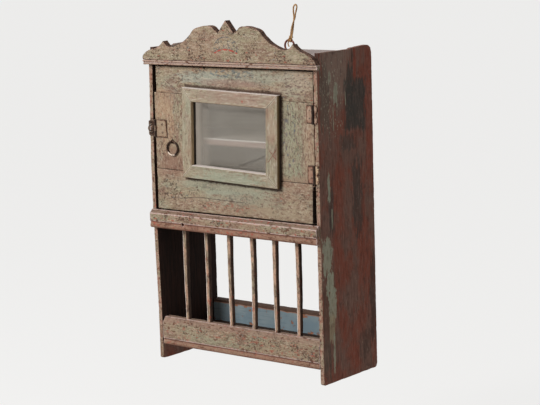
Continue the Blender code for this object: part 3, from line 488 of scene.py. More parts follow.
def side_finish(name, seed):
    """Brown and red paint brushed up and down a side, with near-black and green patches of other coats.
    The paint of the front laps round its edge, and its front is bare and dark above the crest's foot."""
    paint = Finish(name, SIDE_BROWN)
    brushed = paint.cloud(0.0056, seed, drawn(2, 7.0), 5.0, 0.65)
    fine = paint.cloud(0.0022, seed + 4.0, drawn(2, 12.0), 4.0, 0.65)
    broad = paint.cloud(0.040, seed + 7.0, drawn(2, 2.0), 6.0, 0.65)
    mottle = paint.cloud(0.0085, seed + 8.0, drawn(2, 1.6), 6.0, 0.7)
    flakes = paint.cloud(0.0062, seed + 9.0, drawn(2, 2.4), 4.0, 0.65)
    scratches = paint.cloud(0.0026, seed + 12.0, drawn(2, 9.0), 2.0)
    specks = paint.cloud(0.0036, seed + 13.0, detail=2.0)
    chips = paint.cloud(0.0030, seed + 15.0, drawn(2, 2.6), 3.0, 0.6)
    paint.lay((broad, 0.40, 0.60, SIDE_RED), (brushed, 0.54, 0.68, (84, 62, 54), 0.5))
    for depth, height, wide, tall, amount, tone, strength in SIDE_PATCHES:
        ragged = flakes if tone == SIDE_GREEN else brushed
        patch = paint.spot((0.0, depth, height), (0.0, wide, tall), ragged, amount, 0.2, square=True)
        paint.coat(patch, tone, strength)
    paint.lay(
        (mottle, 0.52, 0.68, (70, 50, 43), 0.5), (mottle, 0.46, 0.32, (150, 112, 96), 0.3),
        (fine, 0.53, 0.65, (54, 40, 34), 0.5), (fine, 0.45, 0.35, (156, 124, 108), 0.33),
        (scratches, 0.71, 0.76, (180, 162, 142), 0.7), (specks, 0.69, 0.74, (172, 146, 126), 0.6))
    upper_front = paint.spot((0.0, -0.128, 0.020), (0.0, 0.040, 0.085), brushed, 1.0, 0.8, square=True)
    paint.coat(upper_front, (138, 116, 102), 0.2)
    paint.coat(flaked(chips, upper_front, 0.74), (196, 188, 164), 0.75)
    paint.lay((paint.noted("worn") * 0.55 + flakes, 0.95, 1.08, (136, 84, 66), 0.6))
    side_colour, up = paint.colour, paint.place("Z") - CREST_SHOULDER
    old_paint(paint, seed + 30.0, 2, 0.9, 0.2, 0.8)
    paint.lay((mottle, 0.52, 0.62, (150, 98, 80), 0.6))
    lap = (paint.place("Y") - FRONT + flakes * 0.0024).rise(0.0030, 0.0020) * up.rise(0.0005, -0.0005)
    paint.colour = mix(lap, side_colour, paint.colour)
    paint.coat(paint.facing("Y").rise(-0.3, -0.7) * up.rise(-0.0005, 0.0005), (62, 41, 33), 0.9)
    return paint.done(fine * 0.5 + 0.38, fine * 0.6 + mottle * 0.6 + brushed, 0.0010)


def inside_finish(name, seed, dark, light, along, lines=()):
    """Old wood inside, stained and dusty, grained along an axis, with lines of colour at some heights."""
    paint = Finish(name, dark)
    grain = paint.cloud(0.0040, seed, drawn(along, 18.0), 5.0, 0.6)
    broad = paint.cloud(0.050, seed + 2.0, detail=4.0)
    paint.lay((grain, 0.36, 0.66, light), (broad, 0.50, 0.70, dark, 0.5),
              (paint.noted("worn"), 0.5, 1.0, light, 0.4), *((paint.place("Z"), *line) for line in lines))
    return paint.done(0.8, grain, 0.0006)


def rounding(distance, radius):
    """How far a rounded corner falls back at a distance from its end."""
    short = radius - min(radius, max(0.0, distance))
    return radius - sqrt(radius ** 2 - short ** 2)


STEP, HORN, HORN_ROUND, FOOT_ROUND, FRONT_ROUND = 0.002, 0.003, 0.016, 0.008, 0.0027


def side_height(y, top, run):
    """Height of a side's top edge at a depth: a step at a run from the wall and a rise to a round horn."""
    if y < -run - STEP:
        return top
    if y < -run:
        return top + STEP + run + y
    return top + STEP + HORN * (1.0 + y / run) - rounding(-y, HORN_ROUND)


SPRUNG, SPRUNG_FROM, SPRUNG_TO = 0.005, -0.45135, 0.14315


def sprung(y, z):
    """How far the left side has warped outwards at a place, most at its front edge."""
    share = min(1.0, max(0.0, (z - SPRUNG_FROM) / (SPRUNG_TO - SPRUNG_FROM)))
    return SPRUNG * sin(pi * share) ** 2 * y / FRONT


paint = Finish("grey_room_paint", (178, 168, 156))
grain = paint.cloud(0.0040, 12.0, drawn(0, 16.0), 5.0, 0.6)
paint.lay((grain, 0.36, 0.66, (196, 188, 176)),
          (paint.cloud(0.060, 14.0, detail=4.0), 0.45, 0.70, (170, 158, 146), 0.6),
          (paint.noted("worn") + grain, 1.1, 1.4, (200, 186, 176), 0.7))
room_grey = paint.done(0.8, grain, 0.0005)
# The sides' inner faces in the rack are near black, darker than the wood, as painted shade.
side_inside = inside_finish("dark_inside_of_sides", 4.0, (30, 17, 12), (54, 33, 25), 2)
SIDE_BOARD, CUPBOARD_FLOOR, RACK_FOOT, DOOR_BACK = 0.009, -0.213, -0.477, -0.156
for name, solid, inward, seed, side_top, run in (
    ("right_side", "side_right", -1.0, 2.0, 0.10015, 0.064),
    ("left_side", "side_left", 1.0, 7.0, 0.10255, 0.100),
):
    low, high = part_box(solid)
    low.x = high.x - SIDE_BOARD
    side = board(name, low, high, (SIDE_BOARD, 0.0032, 0.0024))
    for vertex in side.data.vertices:
        share = (vertex.co.z - low.z) / (high.z - low.z)
        foot = low.z + max(rounding(-vertex.co.y, FOOT_ROUND), rounding(vertex.co.y - FRONT, FRONT_ROUND))
        vertex.co.z = foot + share * (side_height(vertex.co.y, side_top, run) - foot)
    notch = fresh(bpy.ops.mesh.primitive_cube_add, "crest_notch", size=1.0,
                  location=((low.x + high.x) / 2, low.y, high.z))
    notch.scale = (0.02, 2 * (CREST_SEAT - low.y), 2 * (high.z - CREST_SHOULDER))
    combine(side, notch)
    if solid == "side_left":
        for vertex in side.data.vertices:
            vertex.co.x -= sprung(vertex.co.y, vertex.co.z)
    age(side, 0.0009, 0.0011, seed)
    dress(side, side_finish(name + "_paint", seed), "carcass", "side_paint", solid)
    side.data.materials.append(side_inside)
    side.data.materials.append(room_grey)
    # Inner faces in the rack and in the gap beside the door take the near-black painted shade. Those in the
    # cupboard are grey.
    for face in side.data.polygons:
        if face.normal.x * inward > 0.7 and face.center.y > FRONT + 0.002:
            in_room = face.center.z > CUPBOARD_FLOOR and face.center.y > DOOR_BACK
            face.material_index = 2 if in_room else 1 if face.center.z > RACK_FOOT else 0


# Floors, top and back: planed boards nailed between the sides. The cupboard is painted grey inside, the top
# is bare and dusty, and the backs show old brown wood. The inner shelf rests on two cleats.
brown_back = inside_finish("bare_brown_wood", 15.0, (82, 58, 43), (116, 86, 64), 0)
dusty_top = inside_finish("dusty_top", 18.0, (172, 156, 150), (196, 182, 176), 0)
# The rack's floors are darkened past the wood's own colour, partly as painted shade.
rack_wood = inside_finish("dark_rack_wood", 21.0, (50, 36, 28), (80, 58, 44), 0)
# The shelf's front top edge takes this near-white finish: a painted highlight.
shelf_arris_highlight = inside_finish("shelf_arris_highlight", 25.0, (240, 232, 226), (250, 246, 242), 0)
SHELF_FOOT, SHELF_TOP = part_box("inner_shelf")[0].z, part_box("inner_shelf")[1].z
# The shelf's front has a pale line near its top, a painted highlight, and a darker line along its foot.
shelf_pink = inside_finish("pink_shelf_paint", 24.0, (164, 134, 122), (184, 160, 150), 0, (
    (SHELF_TOP - 0.0036, SHELF_TOP - 0.0026, (232, 224, 218)),
    (SHELF_FOOT + 0.0022, SHELF_FOOT + 0.0010, (120, 92, 80), 0.8)))
# Each board: its solid, its finish, the other finish and the way that the other's faces look
boards = (
    ("top", "top_board", dusty_top, room_grey, 2, -1.0),
    ("cupboard_floor", "mid_shelf", room_grey, rack_wood, 2, -1.0),
    ("shelf_in_cupboard", "inner_shelf", shelf_pink, room_grey, 2, 1.0),
    ("floor_of_rack", "rack_floor", rack_wood, rack_wood, 2, -1.0),
    ("lower_back", "back_board_lower", room_grey, brown_back, 1, 1.0),
    ("upper_back", "back_board_upper", room_grey, brown_back, 1, 1.0),
    ("left_cleat", "shelf_cleat_left", room_grey, room_grey, 2, -1.0),
    ("right_cleat", "shelf_cleat_right", room_grey, room_grey, 2, -1.0),
)
for count, (name, solid, main, other, axis, sign) in enumerate(boards):
    piece = board(name, *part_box(solid), (0.006, 0.006, 0.006))
    age(piece, 0.0009, 0.0008, 40.0 + 3.0 * count)
    dress(piece, main, "carcass", "bare_wood", solid)
    piece.data.materials.append(other)
    # The shelf's rounded front top edge takes the painted highlight.
    if solid == "inner_shelf":
        piece.data.materials.append(shelf_arris_highlight)
    for face in piece.data.polygons:
        if solid == "inner_shelf" and face.normal.y < -0.2 and face.normal.z > 0.2:
            face.material_index = 2
        elif face.normal[axis] * sign > 0.5:
            face.material_index = 1


# Crest: one board, its top edge sawn to a central point between two humps, with a small cusp and a rounded
# end each side. It is nailed to the front of the sides over a double bead. A painted roundel on it has
# nearly worn off.
CREST_HALF, CREST_RISE, CREST_FOOT, CREST_BACK, CREST_FRONT = 0.208, 0.0767, 0.07945, -0.1653, -0.1793
# Half of the outline and the fuller left end, in shares of the half width and of the rise, with sharp corners
CREST_OUTLINE = (
    (0.000, 1.000, True), (0.090, 0.700, True), (0.123, 0.757, False), (0.165, 0.848, False),
    (0.220, 0.867, False), (0.300, 0.834, False), (0.368, 0.775, False), (0.423, 0.631, False),
    (0.490, 0.488, False), (0.560, 0.400, False), (0.640, 0.338, False), (0.690, 0.350, False),
    (0.742, 0.478, True), (0.768, 0.395, False), (0.823, 0.308, False), (0.900, 0.224, False),
    (0.955, 0.130, False), (0.988, 0.000, True),
)
FULLER_END = ((-0.992, 0.0, True), (-0.998, 0.060, False), (-0.975, 0.150, False), (-0.921, 0.238, False))
left_half = [(-across, up, sharp) for across, up, sharp in reversed(CREST_OUTLINE[1:])]
outline = list(FULLER_END) + left_half[3:] + list(CREST_OUTLINE)
crest = fresh(bpy.ops.curve.primitive_bezier_curve_add, "crest")
crest.data.dimensions = "2D"
crest.data.fill_mode = "NONE"
crest.data.resolution_u = 10
line = crest.data.splines[0]
line.bezier_points.add(len(outline) - len(line.bezier_points))
for point, (across, up, sharp) in zip(line.bezier_points, outline):
    point.co = (across * CREST_HALF, up * CREST_RISE, 0.0)
    point.handle_left_type = point.handle_right_type = "VECTOR" if sharp else "AUTO"
line.use_cyclic_u = True
bpy.ops.object.convert(target="MESH")
crest = bpy.context.object
crest.rotation_euler = (pi / 2, 0.0, 0.0)
crest.location = (0.0, CREST_FRONT, CREST_FOOT)
bpy.ops.object.transform_apply()
bpy.ops.object.mode_set(mode="EDIT")
bpy.ops.mesh.select_all(action="SELECT")
bpy.ops.mesh.remove_doubles(threshold=0.00005)
bpy.ops.mesh.edge_face_add()
bpy.ops.object.mode_set(mode="OBJECT")


def thicken(way):
    """Give the flat face in hand its thickness along a way."""
    bpy.ops.object.mode_set(mode="EDIT")
    bpy.ops.mesh.select_all(action="SELECT")
    bpy.ops.mesh.extrude_region_move(TRANSFORM_OT_translate={"value": way})
    bpy.ops.mesh.select_all(action="SELECT")
    bpy.ops.mesh.normals_make_consistent(inside=False)
    bpy.ops.object.mode_set(mode="OBJECT")


def slice_across(piece, axis, step):
    """Cut a shape across an axis at even steps, so that wear has points to work on."""
    places = [vertex.co[axis] for vertex in piece.data.vertices]
    first, last = min(places), max(places)
    count = round((last - first) / step)
    bpy.ops.object.mode_set(mode="EDIT")
    for cut in range(1, count):
        place, way = [0.0, 0.0, 0.0], [0.0, 0.0, 0.0]
        place[axis], way[axis] = first + (last - first) * cut / count, 1.0
        bpy.ops.mesh.select_all(action="SELECT")
        bpy.ops.mesh.bisect(plane_co=place, plane_no=way)
    bpy.ops.object.mode_set(mode="OBJECT")


thicken((0.0, CREST_BACK - CREST_FRONT, 0.0))
slice_across(crest, 0, 0.0045)
slice_across(crest, 2, 0.0045)
age(crest, 0.0010, 0.0009, 61.0)
# The roundel: a grey oval ring and flecks above a red arc, which is part of a larger circle
ARC = 0.0550
paint = Finish("crest_paint")
height = old_paint(paint, 5.0, 0, 0.9, 0.15, 0.9)
breaks = paint.cloud(0.0075, 33.0)
oval = paint.away((-0.0007, 0.0, 0.1055), (1 / 0.0274, 0.0, 1 / 0.0200))
circle = paint.away((-0.0012, 0.0, 0.0477), (1.0, 0.0, 1.0))
above = circle.rise(ARC - 0.0015, ARC)
ring = abs(oval - 1.0) * 0.022 + breaks * 0.0044
paint.coat(ring.rise(0.0033, 0.0020) * above, (84, 88, 94), 0.7)
dots = paint.cloud(0.0034, 38.0, detail=2.0)
paint.coat(flaked(dots, oval.rise(1.10, 1.02) * above, 0.70), (80, 84, 88), 0.7)
arc = abs(circle - ARC) + breaks * 0.0058
paint.coat(arc.rise(0.0044, 0.0030) * oval.rise(1.14, 1.06), (172, 66, 56), 0.9)
grain = paint.cloud(0.0050, 36.0, drawn(0, 6.0), 4.0)
sawn_brown = mix(grain.rise(0.42, 0.60), (66, 42, 33), (128, 94, 76))
paint.lay((paint.facing("Y"), -0.75, -0.35, sawn_brown, 0.95))
dress(crest, paint.done(0.72, height, 0.0007), "carcass", "front_paint", "crest_board")


def cut_out(name, points, way):
    """A flat face with its corners at the given points, thick along a way."""
    piece = fresh(
        bpy.ops.mesh.primitive_circle_add, name, vertices=len(points), radius=0.01, fill_type="NGON")
    for vertex, point in zip(piece.data.vertices, points):
        vertex.co = point
    thicken(way)
    return piece


def moulded(name, section, start, end):
    """A strip run to a section of (y, z) points, between two places across the cabinet."""
    piece = cut_out(name, [(start, y, z) for y, z in section], (end - start, 0.0, 0.0))
    for axis in range(3):
        divide(piece, axis, 0.003)
    return piece


def arc_points(y, z, radius, start, end, steps):
    """Points on an arc of a section, from one angle to another in degrees."""
    angles = [radians(start + (end - start) * k / steps) for k in range(steps + 1)]
    return [(y + radius * cos(angle), z + radius * sin(angle)) for angle in angles]


def rail_finish(name, seed, wear, green, fleck, reds, front_highlight, upper, bead_top):
    """The front's paint on a moulded rail: edges rubbed pink and red and partly a painted highlight, grooves
    dark.
    """
    paint = Finish(name)
    height = old_paint(paint, seed, 0, wear, green, fleck)
    flakes = paint.cloud(0.0056, seed + 40.0, drawn(0, 2.0), 4.0, 0.65)
    # Faces that look up take the upper colour, on the bead a painted highlight. front_highlight lightens
    # faces that look to the front as painted highlight. The pale worn arris is wear and partly painted
    # highlight.
    paint.lay(
        (paint.place("Z") + flakes * 0.002, bead_top + 0.0016, bead_top + 0.0004, (146, 100, 82), 0.6),
        (paint.facing("Z"), 0.25, 0.65, upper, 0.65), (paint.facing("Z"), -0.25, -0.65, (122, 76, 60), 0.6),
        (paint.facing("Y"), -0.75, -0.95, (184, 158, 142), front_highlight),
        (paint.noted("worn") + flakes * 0.8, 0.95, 1.25, (214, 190, 180), 0.75),
        (flakes, 0.59, 0.64, RED, reds), (flakes, 0.43, 0.37, WOOD, 0.9))
    return paint.done(0.7, height, 0.0008)


BEAD_GROOVE, BEAD_GROOVE_DEPTH, BEAD_END, BEAD_UNDERCUT = 0.0011, 0.0018, 0.0015, 0.0055
low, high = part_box("crest_bead")
middle = (low.z + high.z) / 2
radius = ((high.z - middle) - BEAD_GROOVE / 2) / 2
bead = moulded("crest_double_bead", (
    [(high.y, low.z), (high.y, high.z)] + arc_points(low.y + radius, high.z - radius, radius, 90, 270, 9)
    + [(low.y + BEAD_GROOVE_DEPTH, middle)] + arc_points(low.y + radius, low.z + radius, radius, 90, 270, 9)
), low.x, high.x)
for vertex in bead.data.vertices:
    if vertex.co.x < low.x + 0.0001:
        vertex.co.x += BEAD_END + BEAD_UNDERCUT * ((high.z - vertex.co.z) / (high.z - low.z)) ** 2
age(bead, 0.0, 0.0006, 64.0, hollow=0.0003, reach=0.0012)
# The bead's faces that look up and to the front get a painted highlight.
bead_paint = rail_finish("bead_paint", 9.0, 0.9, 0.0, 0.8, 0.4, 0.55, (184, 160, 150), low.z - 0.01)
dress(bead, bead_paint, "carcass", "front_paint", "crest_bead")


# Rails: three strips that close the front and back. The two in front are run with a bevel, a groove and a
# bead, and nailed to the sides. The one behind the rack is plain, painted blue-grey, and flaking.
GROOVE_DEPTH, GROOVE_WIDE = 0.0018, 0.0015
# Each front rail: its solid, bevel, bevel's arris, face, groove and bead, then its wear, then its paint
for name, solid, bevel, arris_in, arris_down, face_down, groove, bead_round, wear, finish in (
    ("middle_rail", "mid_rail", 0.0070, 0.0002, 0.0068, 0.0085, 0.0140, 0.0055, (0.0006, 0.0009, 67.0),
     ("middle_rail_paint", 13.0, 1.2, 0.2, 0.8, 0.7, 0.0, (126, 98, 85))),
    ("rack_foot_rail", "foot_rail", 0.0080, 0.0003, 0.0106, 0.0120, 0.0130, 0.0052, (0.0007, 0.0010, 70.0),
     ("foot_rail_paint", 16.0, 1.2, 0.35, 0.8, 0.5, 0.0, (150, 120, 104))),
):
    low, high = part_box(solid)
    bead_top = low.z + groove - GROOVE_WIDE
    rail = moulded(name, [
        (high.y, low.z), (high.y, high.z), (low.y + bevel, high.z), (low.y + arris_in, high.z - arris_down),
        (low.y, high.z - face_down), (low.y, low.z + groove), (low.y + GROOVE_DEPTH, bead_top),
    ] + arc_points(low.y + bead_round, low.z + bead_round, bead_round, 145, 250, 8), low.x, high.x)
    if solid == "mid_rail":
        combine(rail, fresh(
            bpy.ops.mesh.primitive_cylinder_add, "lost_nail_hole", vertices=14, radius=0.0030, depth=0.012,
            location=(-0.1215, low.y, -0.2338), rotation=(pi / 2, 0.0, 0.0)))
    age(rail, *wear, reach=0.004)
    dress(rail, rail_finish(*finish, bead_top), "carcass", "front_paint", solid)

BACK_RAIL_FALL, BACK_RAIL_BARE = 0.0035, -0.4200
low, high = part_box("back_rail")
back_rail = board("rack_back_rail", low, high, (0.004, 0.004, 0.004))
for vertex in back_rail.data.vertices:
    share = (vertex.co.z - low.z) / (high.z - low.z)
    vertex.co.z -= BACK_RAIL_FALL * share * (vertex.co.y - high.y) / (low.y - high.y)
age(back_rail, 0.0022, 0.0012, 73.0, bevel_steps=3)
paint = Finish("flaking_blue_paint", (134, 154, 164))
flakes = paint.cloud(0.017, 6.0, drawn(0, 1.4), 4.0, 0.6)
grain = paint.cloud(0.0035, 8.0, drawn(0, 12.0), 4.0)
top = paint.place("Z") + flakes * 0.0060
paint.lay(
    (paint.cloud(0.060, 3.0, detail=4.0), 0.38, 0.64, (156, 170, 174)),
    (grain, 0.52, 0.68, (118, 136, 144), 0.5), (flakes, 0.59, 0.61, (176, 118, 88), 0.95),
    (top, BACK_RAIL_BARE, BACK_RAIL_BARE + 0.0010, (186, 130, 98), 0.8),
    (top, BACK_RAIL_BARE + 0.0014, BACK_RAIL_BARE + 0.0030, (92, 68, 55)))
blue_paint = paint.done(0.7, grain * 0.3 - flakes.rise(0.59, 0.61), 0.0007)
dress(back_rail, blue_paint, "carcass", "blue_paint", "back_rail")


# Bars: six sticks whittled square, their corners knocked off, let into the floor above and the rail below.
# Paint stays in the hollows, and handling has worn the rest to brown wood with old red showing.
BAR_SHORT, BAR_HEAD, BAR_FOOT, BAR_WHITTLE = 0.004, 0.0112, 0.0092, 0.05
BAR_BOWS = (-0.0012, 0.0010, -0.0008, 0.0014, -0.0010, 0.0012)
paint = Finish("bar_paint")
height = old_paint(paint, 19.0, 2, 1.1, 0.2, 1.0)
rubbed = paint.cloud(0.0075, 50.0, drawn(2, 3.5), 4.0, 0.65)
# Faces turned to the right are painted dark as painted shade. Worn edges turned to the left get a painted
# highlight.
paint.lay((rubbed, 0.46, 0.58, (192, 152, 128), 0.8), (rubbed, 0.45, 0.37, (92, 62, 50), 0.75),
          (paint.facing("X"), 0.10, 0.60, (58, 38, 31), 0.85))
lit = paint.noted("worn").rise(0.35, 0.75) * paint.facing("X").rise(0.05, -0.20)
paint.coat(lit, (255, 240, 230), 0.95)
paint.lay((paint.cloud(0.0090, 54.0, drawn(2, 2.0)), 0.64, 0.70, RED, 0.6))
bar_paint = paint.done(0.7, height, 0.0008)
for index, bow in enumerate(BAR_BOWS):
    solid = f"bar_{index + 1}"
    low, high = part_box(solid)
    low.z, high.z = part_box("foot_rail")[1].z - BAR_SHORT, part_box("mid_shelf")[0].z + BAR_SHORT / 2
    middle, depth = (low.x + high.x - bow) / 2, (low.y + high.y) / 2
    foot, head = Vector((-0.5, -0.5, low.z)), Vector((0.5, 0.5, high.z))
    bar = board(solid + "_of_rack", foot, head, (0.5, 0.5, 0.0022))
    for vertex in bar.data.vertices:
        share = (vertex.co.z - low.z) / (high.z - low.z)
        rough = noise.noise(Vector((index * 3.0 + vertex.co.x, vertex.co.y, vertex.co.z * 45.0)))
        width = (BAR_FOOT + (BAR_HEAD - BAR_FOOT) * share) * (1.0 - BAR_WHITTLE - BAR_WHITTLE * rough)
        vertex.co.x = middle + vertex.co.x * width + bow * sin(pi * share)
        vertex.co.y = depth + vertex.co.y * width
    age(bar, 0.0020, 0.0006, 76.0 + index, reach=0.004, bevel_steps=3)
    dress(bar, bar_paint, "carcass", "front_paint", solid)


# Door: two rails right across and two stiles between them, butted and nailed. It has racked with age, so the
# joints fall towards the hinges, and the foot rail has drawn back from the side. A rebate takes the glass.
LATCH_EDGE, TOP_RAIL_END, HINGE_EDGE, FOOT_RAIL_END, FOOT_CORNER = -0.1898, -0.1843, 0.1906, 0.1848, 0.18282
DOOR_TOP, DOOR_FOOT, TOP_JOINT, FOOT_JOINT = 0.06785, -0.20835, 0.01365, -0.13235
OPENING_LEFT, OPENING_RIGHT, JOINT_FALL = -0.100, 0.103, tan(radians(0.9))
TOP_JOINT_LAP, FOOT_JOINT_LAP, REBATE_LAP, REBATE = 0.0007, 0.0004, 0.008, 0.005
MOULD_MIDDLE, MOULD_TILT = Vector((0.0015, -0.1703, -0.05935)), radians(1.8)
MOULD_HALF_WIDE, MOULD_HALF_TALL = 0.1141, 0.0856
# Soft patches of the door's paint: x and z of the middle, half sizes, colour and strength
DOOR_PATCHES = (
    (-0.070, 0.048, 0.060, 0.012, (152, 158, 146), 0.6), (0.060, 0.052, 0.080, 0.014, (148, 152, 136), 0.55),
    (0.000, 0.040, 0.070, 0.007, (148, 118, 106), 0.6), (-0.148, 0.022, 0.018, 0.030, (122, 104, 94), 0.5),
    (-0.150, -0.120, 0.035, 0.026, (132, 98, 82), 0.6), (-0.165, -0.030, 0.025, 0.060, (174, 138, 110), 0.5),
    (0.145, -0.060, 0.030, 0.085, (146, 148, 124), 0.5), (0.178, -0.070, 0.012, 0.060, (166, 136, 112), 0.5),
    (0.150, -0.138, 0.045, 0.014, (150, 116, 97), 0.5), (-0.020, -0.155, 0.120, 0.016, (154, 158, 138), 0.55),
    (0.060, -0.190, 0.110, 0.014, (150, 130, 108), 0.4), (0.145, 0.045, 0.045, 0.022, (178, 164, 146), 0.45),
    (0.030, -0.176, 0.090, 0.014, (150, 152, 134), 0.45),
    (0.115, -0.188, 0.065, 0.022, (160, 147, 122), 0.45),
)
# Places where it flakes: x and z of the middle, half sizes, colour under the flakes and level of the noise
DOOR_FLAKES = (
    (0.006, 0.057, 0.060, 0.009, SLATE, 0.64), (0.150, 0.040, 0.035, 0.030, SLATE, 0.70),
    (0.145, -0.060, 0.030, 0.085, (128, 142, 128), 0.72),
    (-0.020, -0.192, 0.075, 0.009, (156, 100, 82), 0.67),
    (0.110, -0.172, 0.060, 0.022, SCUFF, 0.68), (-0.135, 0.025, 0.025, 0.030, SCUFF, 0.66),
    (-0.160, -0.165, 0.030, 0.030, DARK_WOOD, 0.70), (0.150, -0.060, 0.040, 0.080, SCUFF, 0.66),
    (0.140, 0.030, 0.050, 0.030, SCUFF, 0.68), (-0.150, -0.080, 0.040, 0.060, SCUFF, 0.68),
    (0.135, -0.050, 0.020, 0.070, SLATE, 0.70),
)
# Dirt and painted shadow round the moulding, the hinges and the hasp: x and z of the middle, half sizes, tilt
# and reach
DOOR_DIRT_AND_SHADOW = (
    (MOULD_MIDDLE.x, MOULD_MIDDLE.z - 0.0005, MOULD_HALF_WIDE, MOULD_HALF_TALL + 0.0035, MOULD_TILT, 0.0042),
    (0.1830, -0.0094, 0.0075, 0.0165, 0.0, 0.0014), (0.1830, -0.1184, 0.0075, 0.0165, 0.0, 0.0014),
    (-0.1738, -0.0528, 0.0134, 0.0165, 0.0, 0.0026),
)
DOOR_SCRATCHES = (
    ((-0.136, -0.1855), (-0.100, -0.1805)), ((-0.112, -0.1815), (-0.070, -0.1785)),
    ((-0.085, -0.1786), (-0.030, -0.1808)), ((-0.045, -0.1800), (0.031, -0.1817)),
    ((-0.164, 0.0430), (-0.1286, 0.0190)), ((-0.130, 0.0330), (-0.116, 0.0460)),
)


def door_finish(name, along):
    """The front's paint, greener where sheltered, rubbed brown round the latch, scratched and flecked."""
    paint = Finish(name)
    height = old_paint(paint, 22.0, along, 0.5, 0.5, 0.75)
    ragged = paint.cloud(0.0120, 66.0, drawn(along, 4.0), 6.0, 0.7)
    chips = paint.cloud(0.0046, 70.0, drawn(along, 2.2), 4.0, 0.65)
    for x, z, wide, tall, tone, strength in DOOR_PATCHES:
        paint.coat(paint.spot((x, 0.0, z), (wide, 0.0, tall), ragged, 3.2, 0.7), tone, strength)
    for x, z, wide, tall, tone, level in DOOR_FLAKES:
        region = paint.spot((x, 0.0, z), (wide, 0.0, tall), ragged, 1.2)
        paint.coat(flaked(chips, region, level), tone, 0.7)
    mosaic = paint.cloud(0.0050, 82.0, drawn(along, 2.2), 5.0, 0.75)
    broken = paint.cloud(0.022, 85.0, drawn(along, 4.0), 4.0).rise(0.39, 0.57)
    paint.coat(mosaic.rise(0.52, 0.62) * broken, (112, 84, 69), 0.7)
    paint.coat(mosaic.rise(0.48, 0.38) * broken, (182, 168, 147), 0.62)
    # Dirt and painted shadow in a ragged band round the moulding, the hinges and the hasp.
    for x, z, wide, tall, tilt, reach in DOOR_DIRT_AND_SHADOW:
        across = paint.beside((x, z), (cos(tilt), -sin(tilt))) - wide
        far = across.do("MAXIMUM", paint.beside((x, z), (sin(tilt), cos(tilt))) - tall)
        paint.lay((far + chips * (2.4 * reach), 2.0 * reach, 1.2 * reach, (62, 42, 33), 0.85))
    # The door's end faces and the faces that look up are painted near black as painted shade in the gaps.
    # Between the hinges the end face is reddish brown where paint fills the gap.
    filled = paint.spot((HINGE_EDGE, 0.0, -0.064), (0.02, 0.0, 0.040), ragged, 1.5, 0.3, square=True)
    ends = mix(filled, (40, 28, 22), (150, 100, 80))
    paint.lay((paint.facing("X"), 0.60, 0.85, ends, 0.95),
              (paint.facing("Z"), 0.60, 0.85, (34, 25, 20), 0.95))
    for start, end in DOOR_SCRATCHES:
        paint.coat(paint.scratch(start, end, 0.0010, chips), (78, 64, 60), 0.8)
    return paint.done(0.66, height, 0.0006)


def joint(level, x, lap=0.0):
    """A place on a joint of the door, or past it by a lap: the joints fall towards the hinges."""
    return x, level - JOINT_FALL * x + lap


door_pieces = [
    ("door_top_rail", 0, (joint(TOP_JOINT, TOP_RAIL_END), joint(TOP_JOINT, HINGE_EDGE),
                          (TOP_RAIL_END, DOOR_TOP), (HINGE_EDGE, DOOR_TOP))),
    ("door_foot_rail", 0, ((LATCH_EDGE, DOOR_FOOT), (FOOT_CORNER, DOOR_FOOT),
                           joint(FOOT_JOINT, LATCH_EDGE), joint(FOOT_JOINT, FOOT_RAIL_END))),
]
for name, left, right in (("latch", LATCH_EDGE, OPENING_LEFT), ("hinge", OPENING_RIGHT, HINGE_EDGE)):
    door_pieces.append((f"door_stile_{name}", 2, (
        joint(FOOT_JOINT, left, -FOOT_JOINT_LAP), joint(FOOT_JOINT, right, -FOOT_JOINT_LAP),
        joint(TOP_JOINT, left, TOP_JOINT_LAP), joint(TOP_JOINT, right, TOP_JOINT_LAP))))
door_paint = {0: door_finish("door_rail_paint", 0), 2: door_finish("door_stile_paint", 2)}
for count, (solid, along, corners) in enumerate(door_pieces):
    foot_left, foot_right, top_left, top_right = (Vector(corner) for corner in corners)
    wide, tall = abs(corners[1][0] - corners[0][0]), abs(corners[2][1] - corners[0][1])
    low, high = Vector((0.0, FRONT, 0.0)), Vector((wide, DOOR_BACK, tall))
    piece = board(solid + "_wood", low, high, (0.0035, 0.007, 0.0035))
    for vertex in piece.data.vertices:
        across, up = vertex.co.x / wide, vertex.co.z / tall
        foot, top = foot_left.lerp(foot_right, across), top_left.lerp(top_right, across)
        vertex.co.x, vertex.co.z = foot.lerp(top, up)
    age(piece, 0.0010, 0.0010, 90.0 + 4.0 * count)
    rebate = fresh(bpy.ops.mesh.primitive_cube_add, "rebate", size=1.0,
                   location=((OPENING_LEFT + OPENING_RIGHT) / 2, DOOR_BACK, (TOP_JOINT + FOOT_JOINT) / 2))
    rebate.scale = (
        OPENING_RIGHT - OPENING_LEFT + 2 * REBATE_LAP, 2 * REBATE, TOP_JOINT - FOOT_JOINT + 2 * REBATE_LAP)
    combine(piece, rebate)
    dress(piece, door_paint[along], "door", "front_paint", solid)


# Glass: one thin old pane, hazed all over. Along its left and top edges it is paler with dust and with
# painted light that lifts the moulding's shadow, and glows with a painted reflection of the room. It is
# bedded in the rebate and held from behind by four strips of bare wood.
pane = board("old_pane", *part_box("glass_pane"), (0.012, 0.1, 0.012))
bpy.ops.object.shade_smooth_by_angle(angle=SMOOTH)
paint = Finish("hazed_glass", (165, 158, 147))
haze = paint.cloud(0.030, 2.0, drawn(0, 3.0), 5.0, 0.7)
# Along the left and top edges the pane is paler and more opaque: dust, and painted light that lifts the
# moulding's shadow.
dust_and_painted_light = paint.place("X").rise(-0.076, -0.098).do("MAXIMUM", paint.place("Z").rise(-0.004, 0.012) * 0.7)
painted_room_reflection = paint.place("X").rise(-0.055, -0.089).do("MAXIMUM", paint.place("Z").rise(-0.014, -0.003) * 0.7)
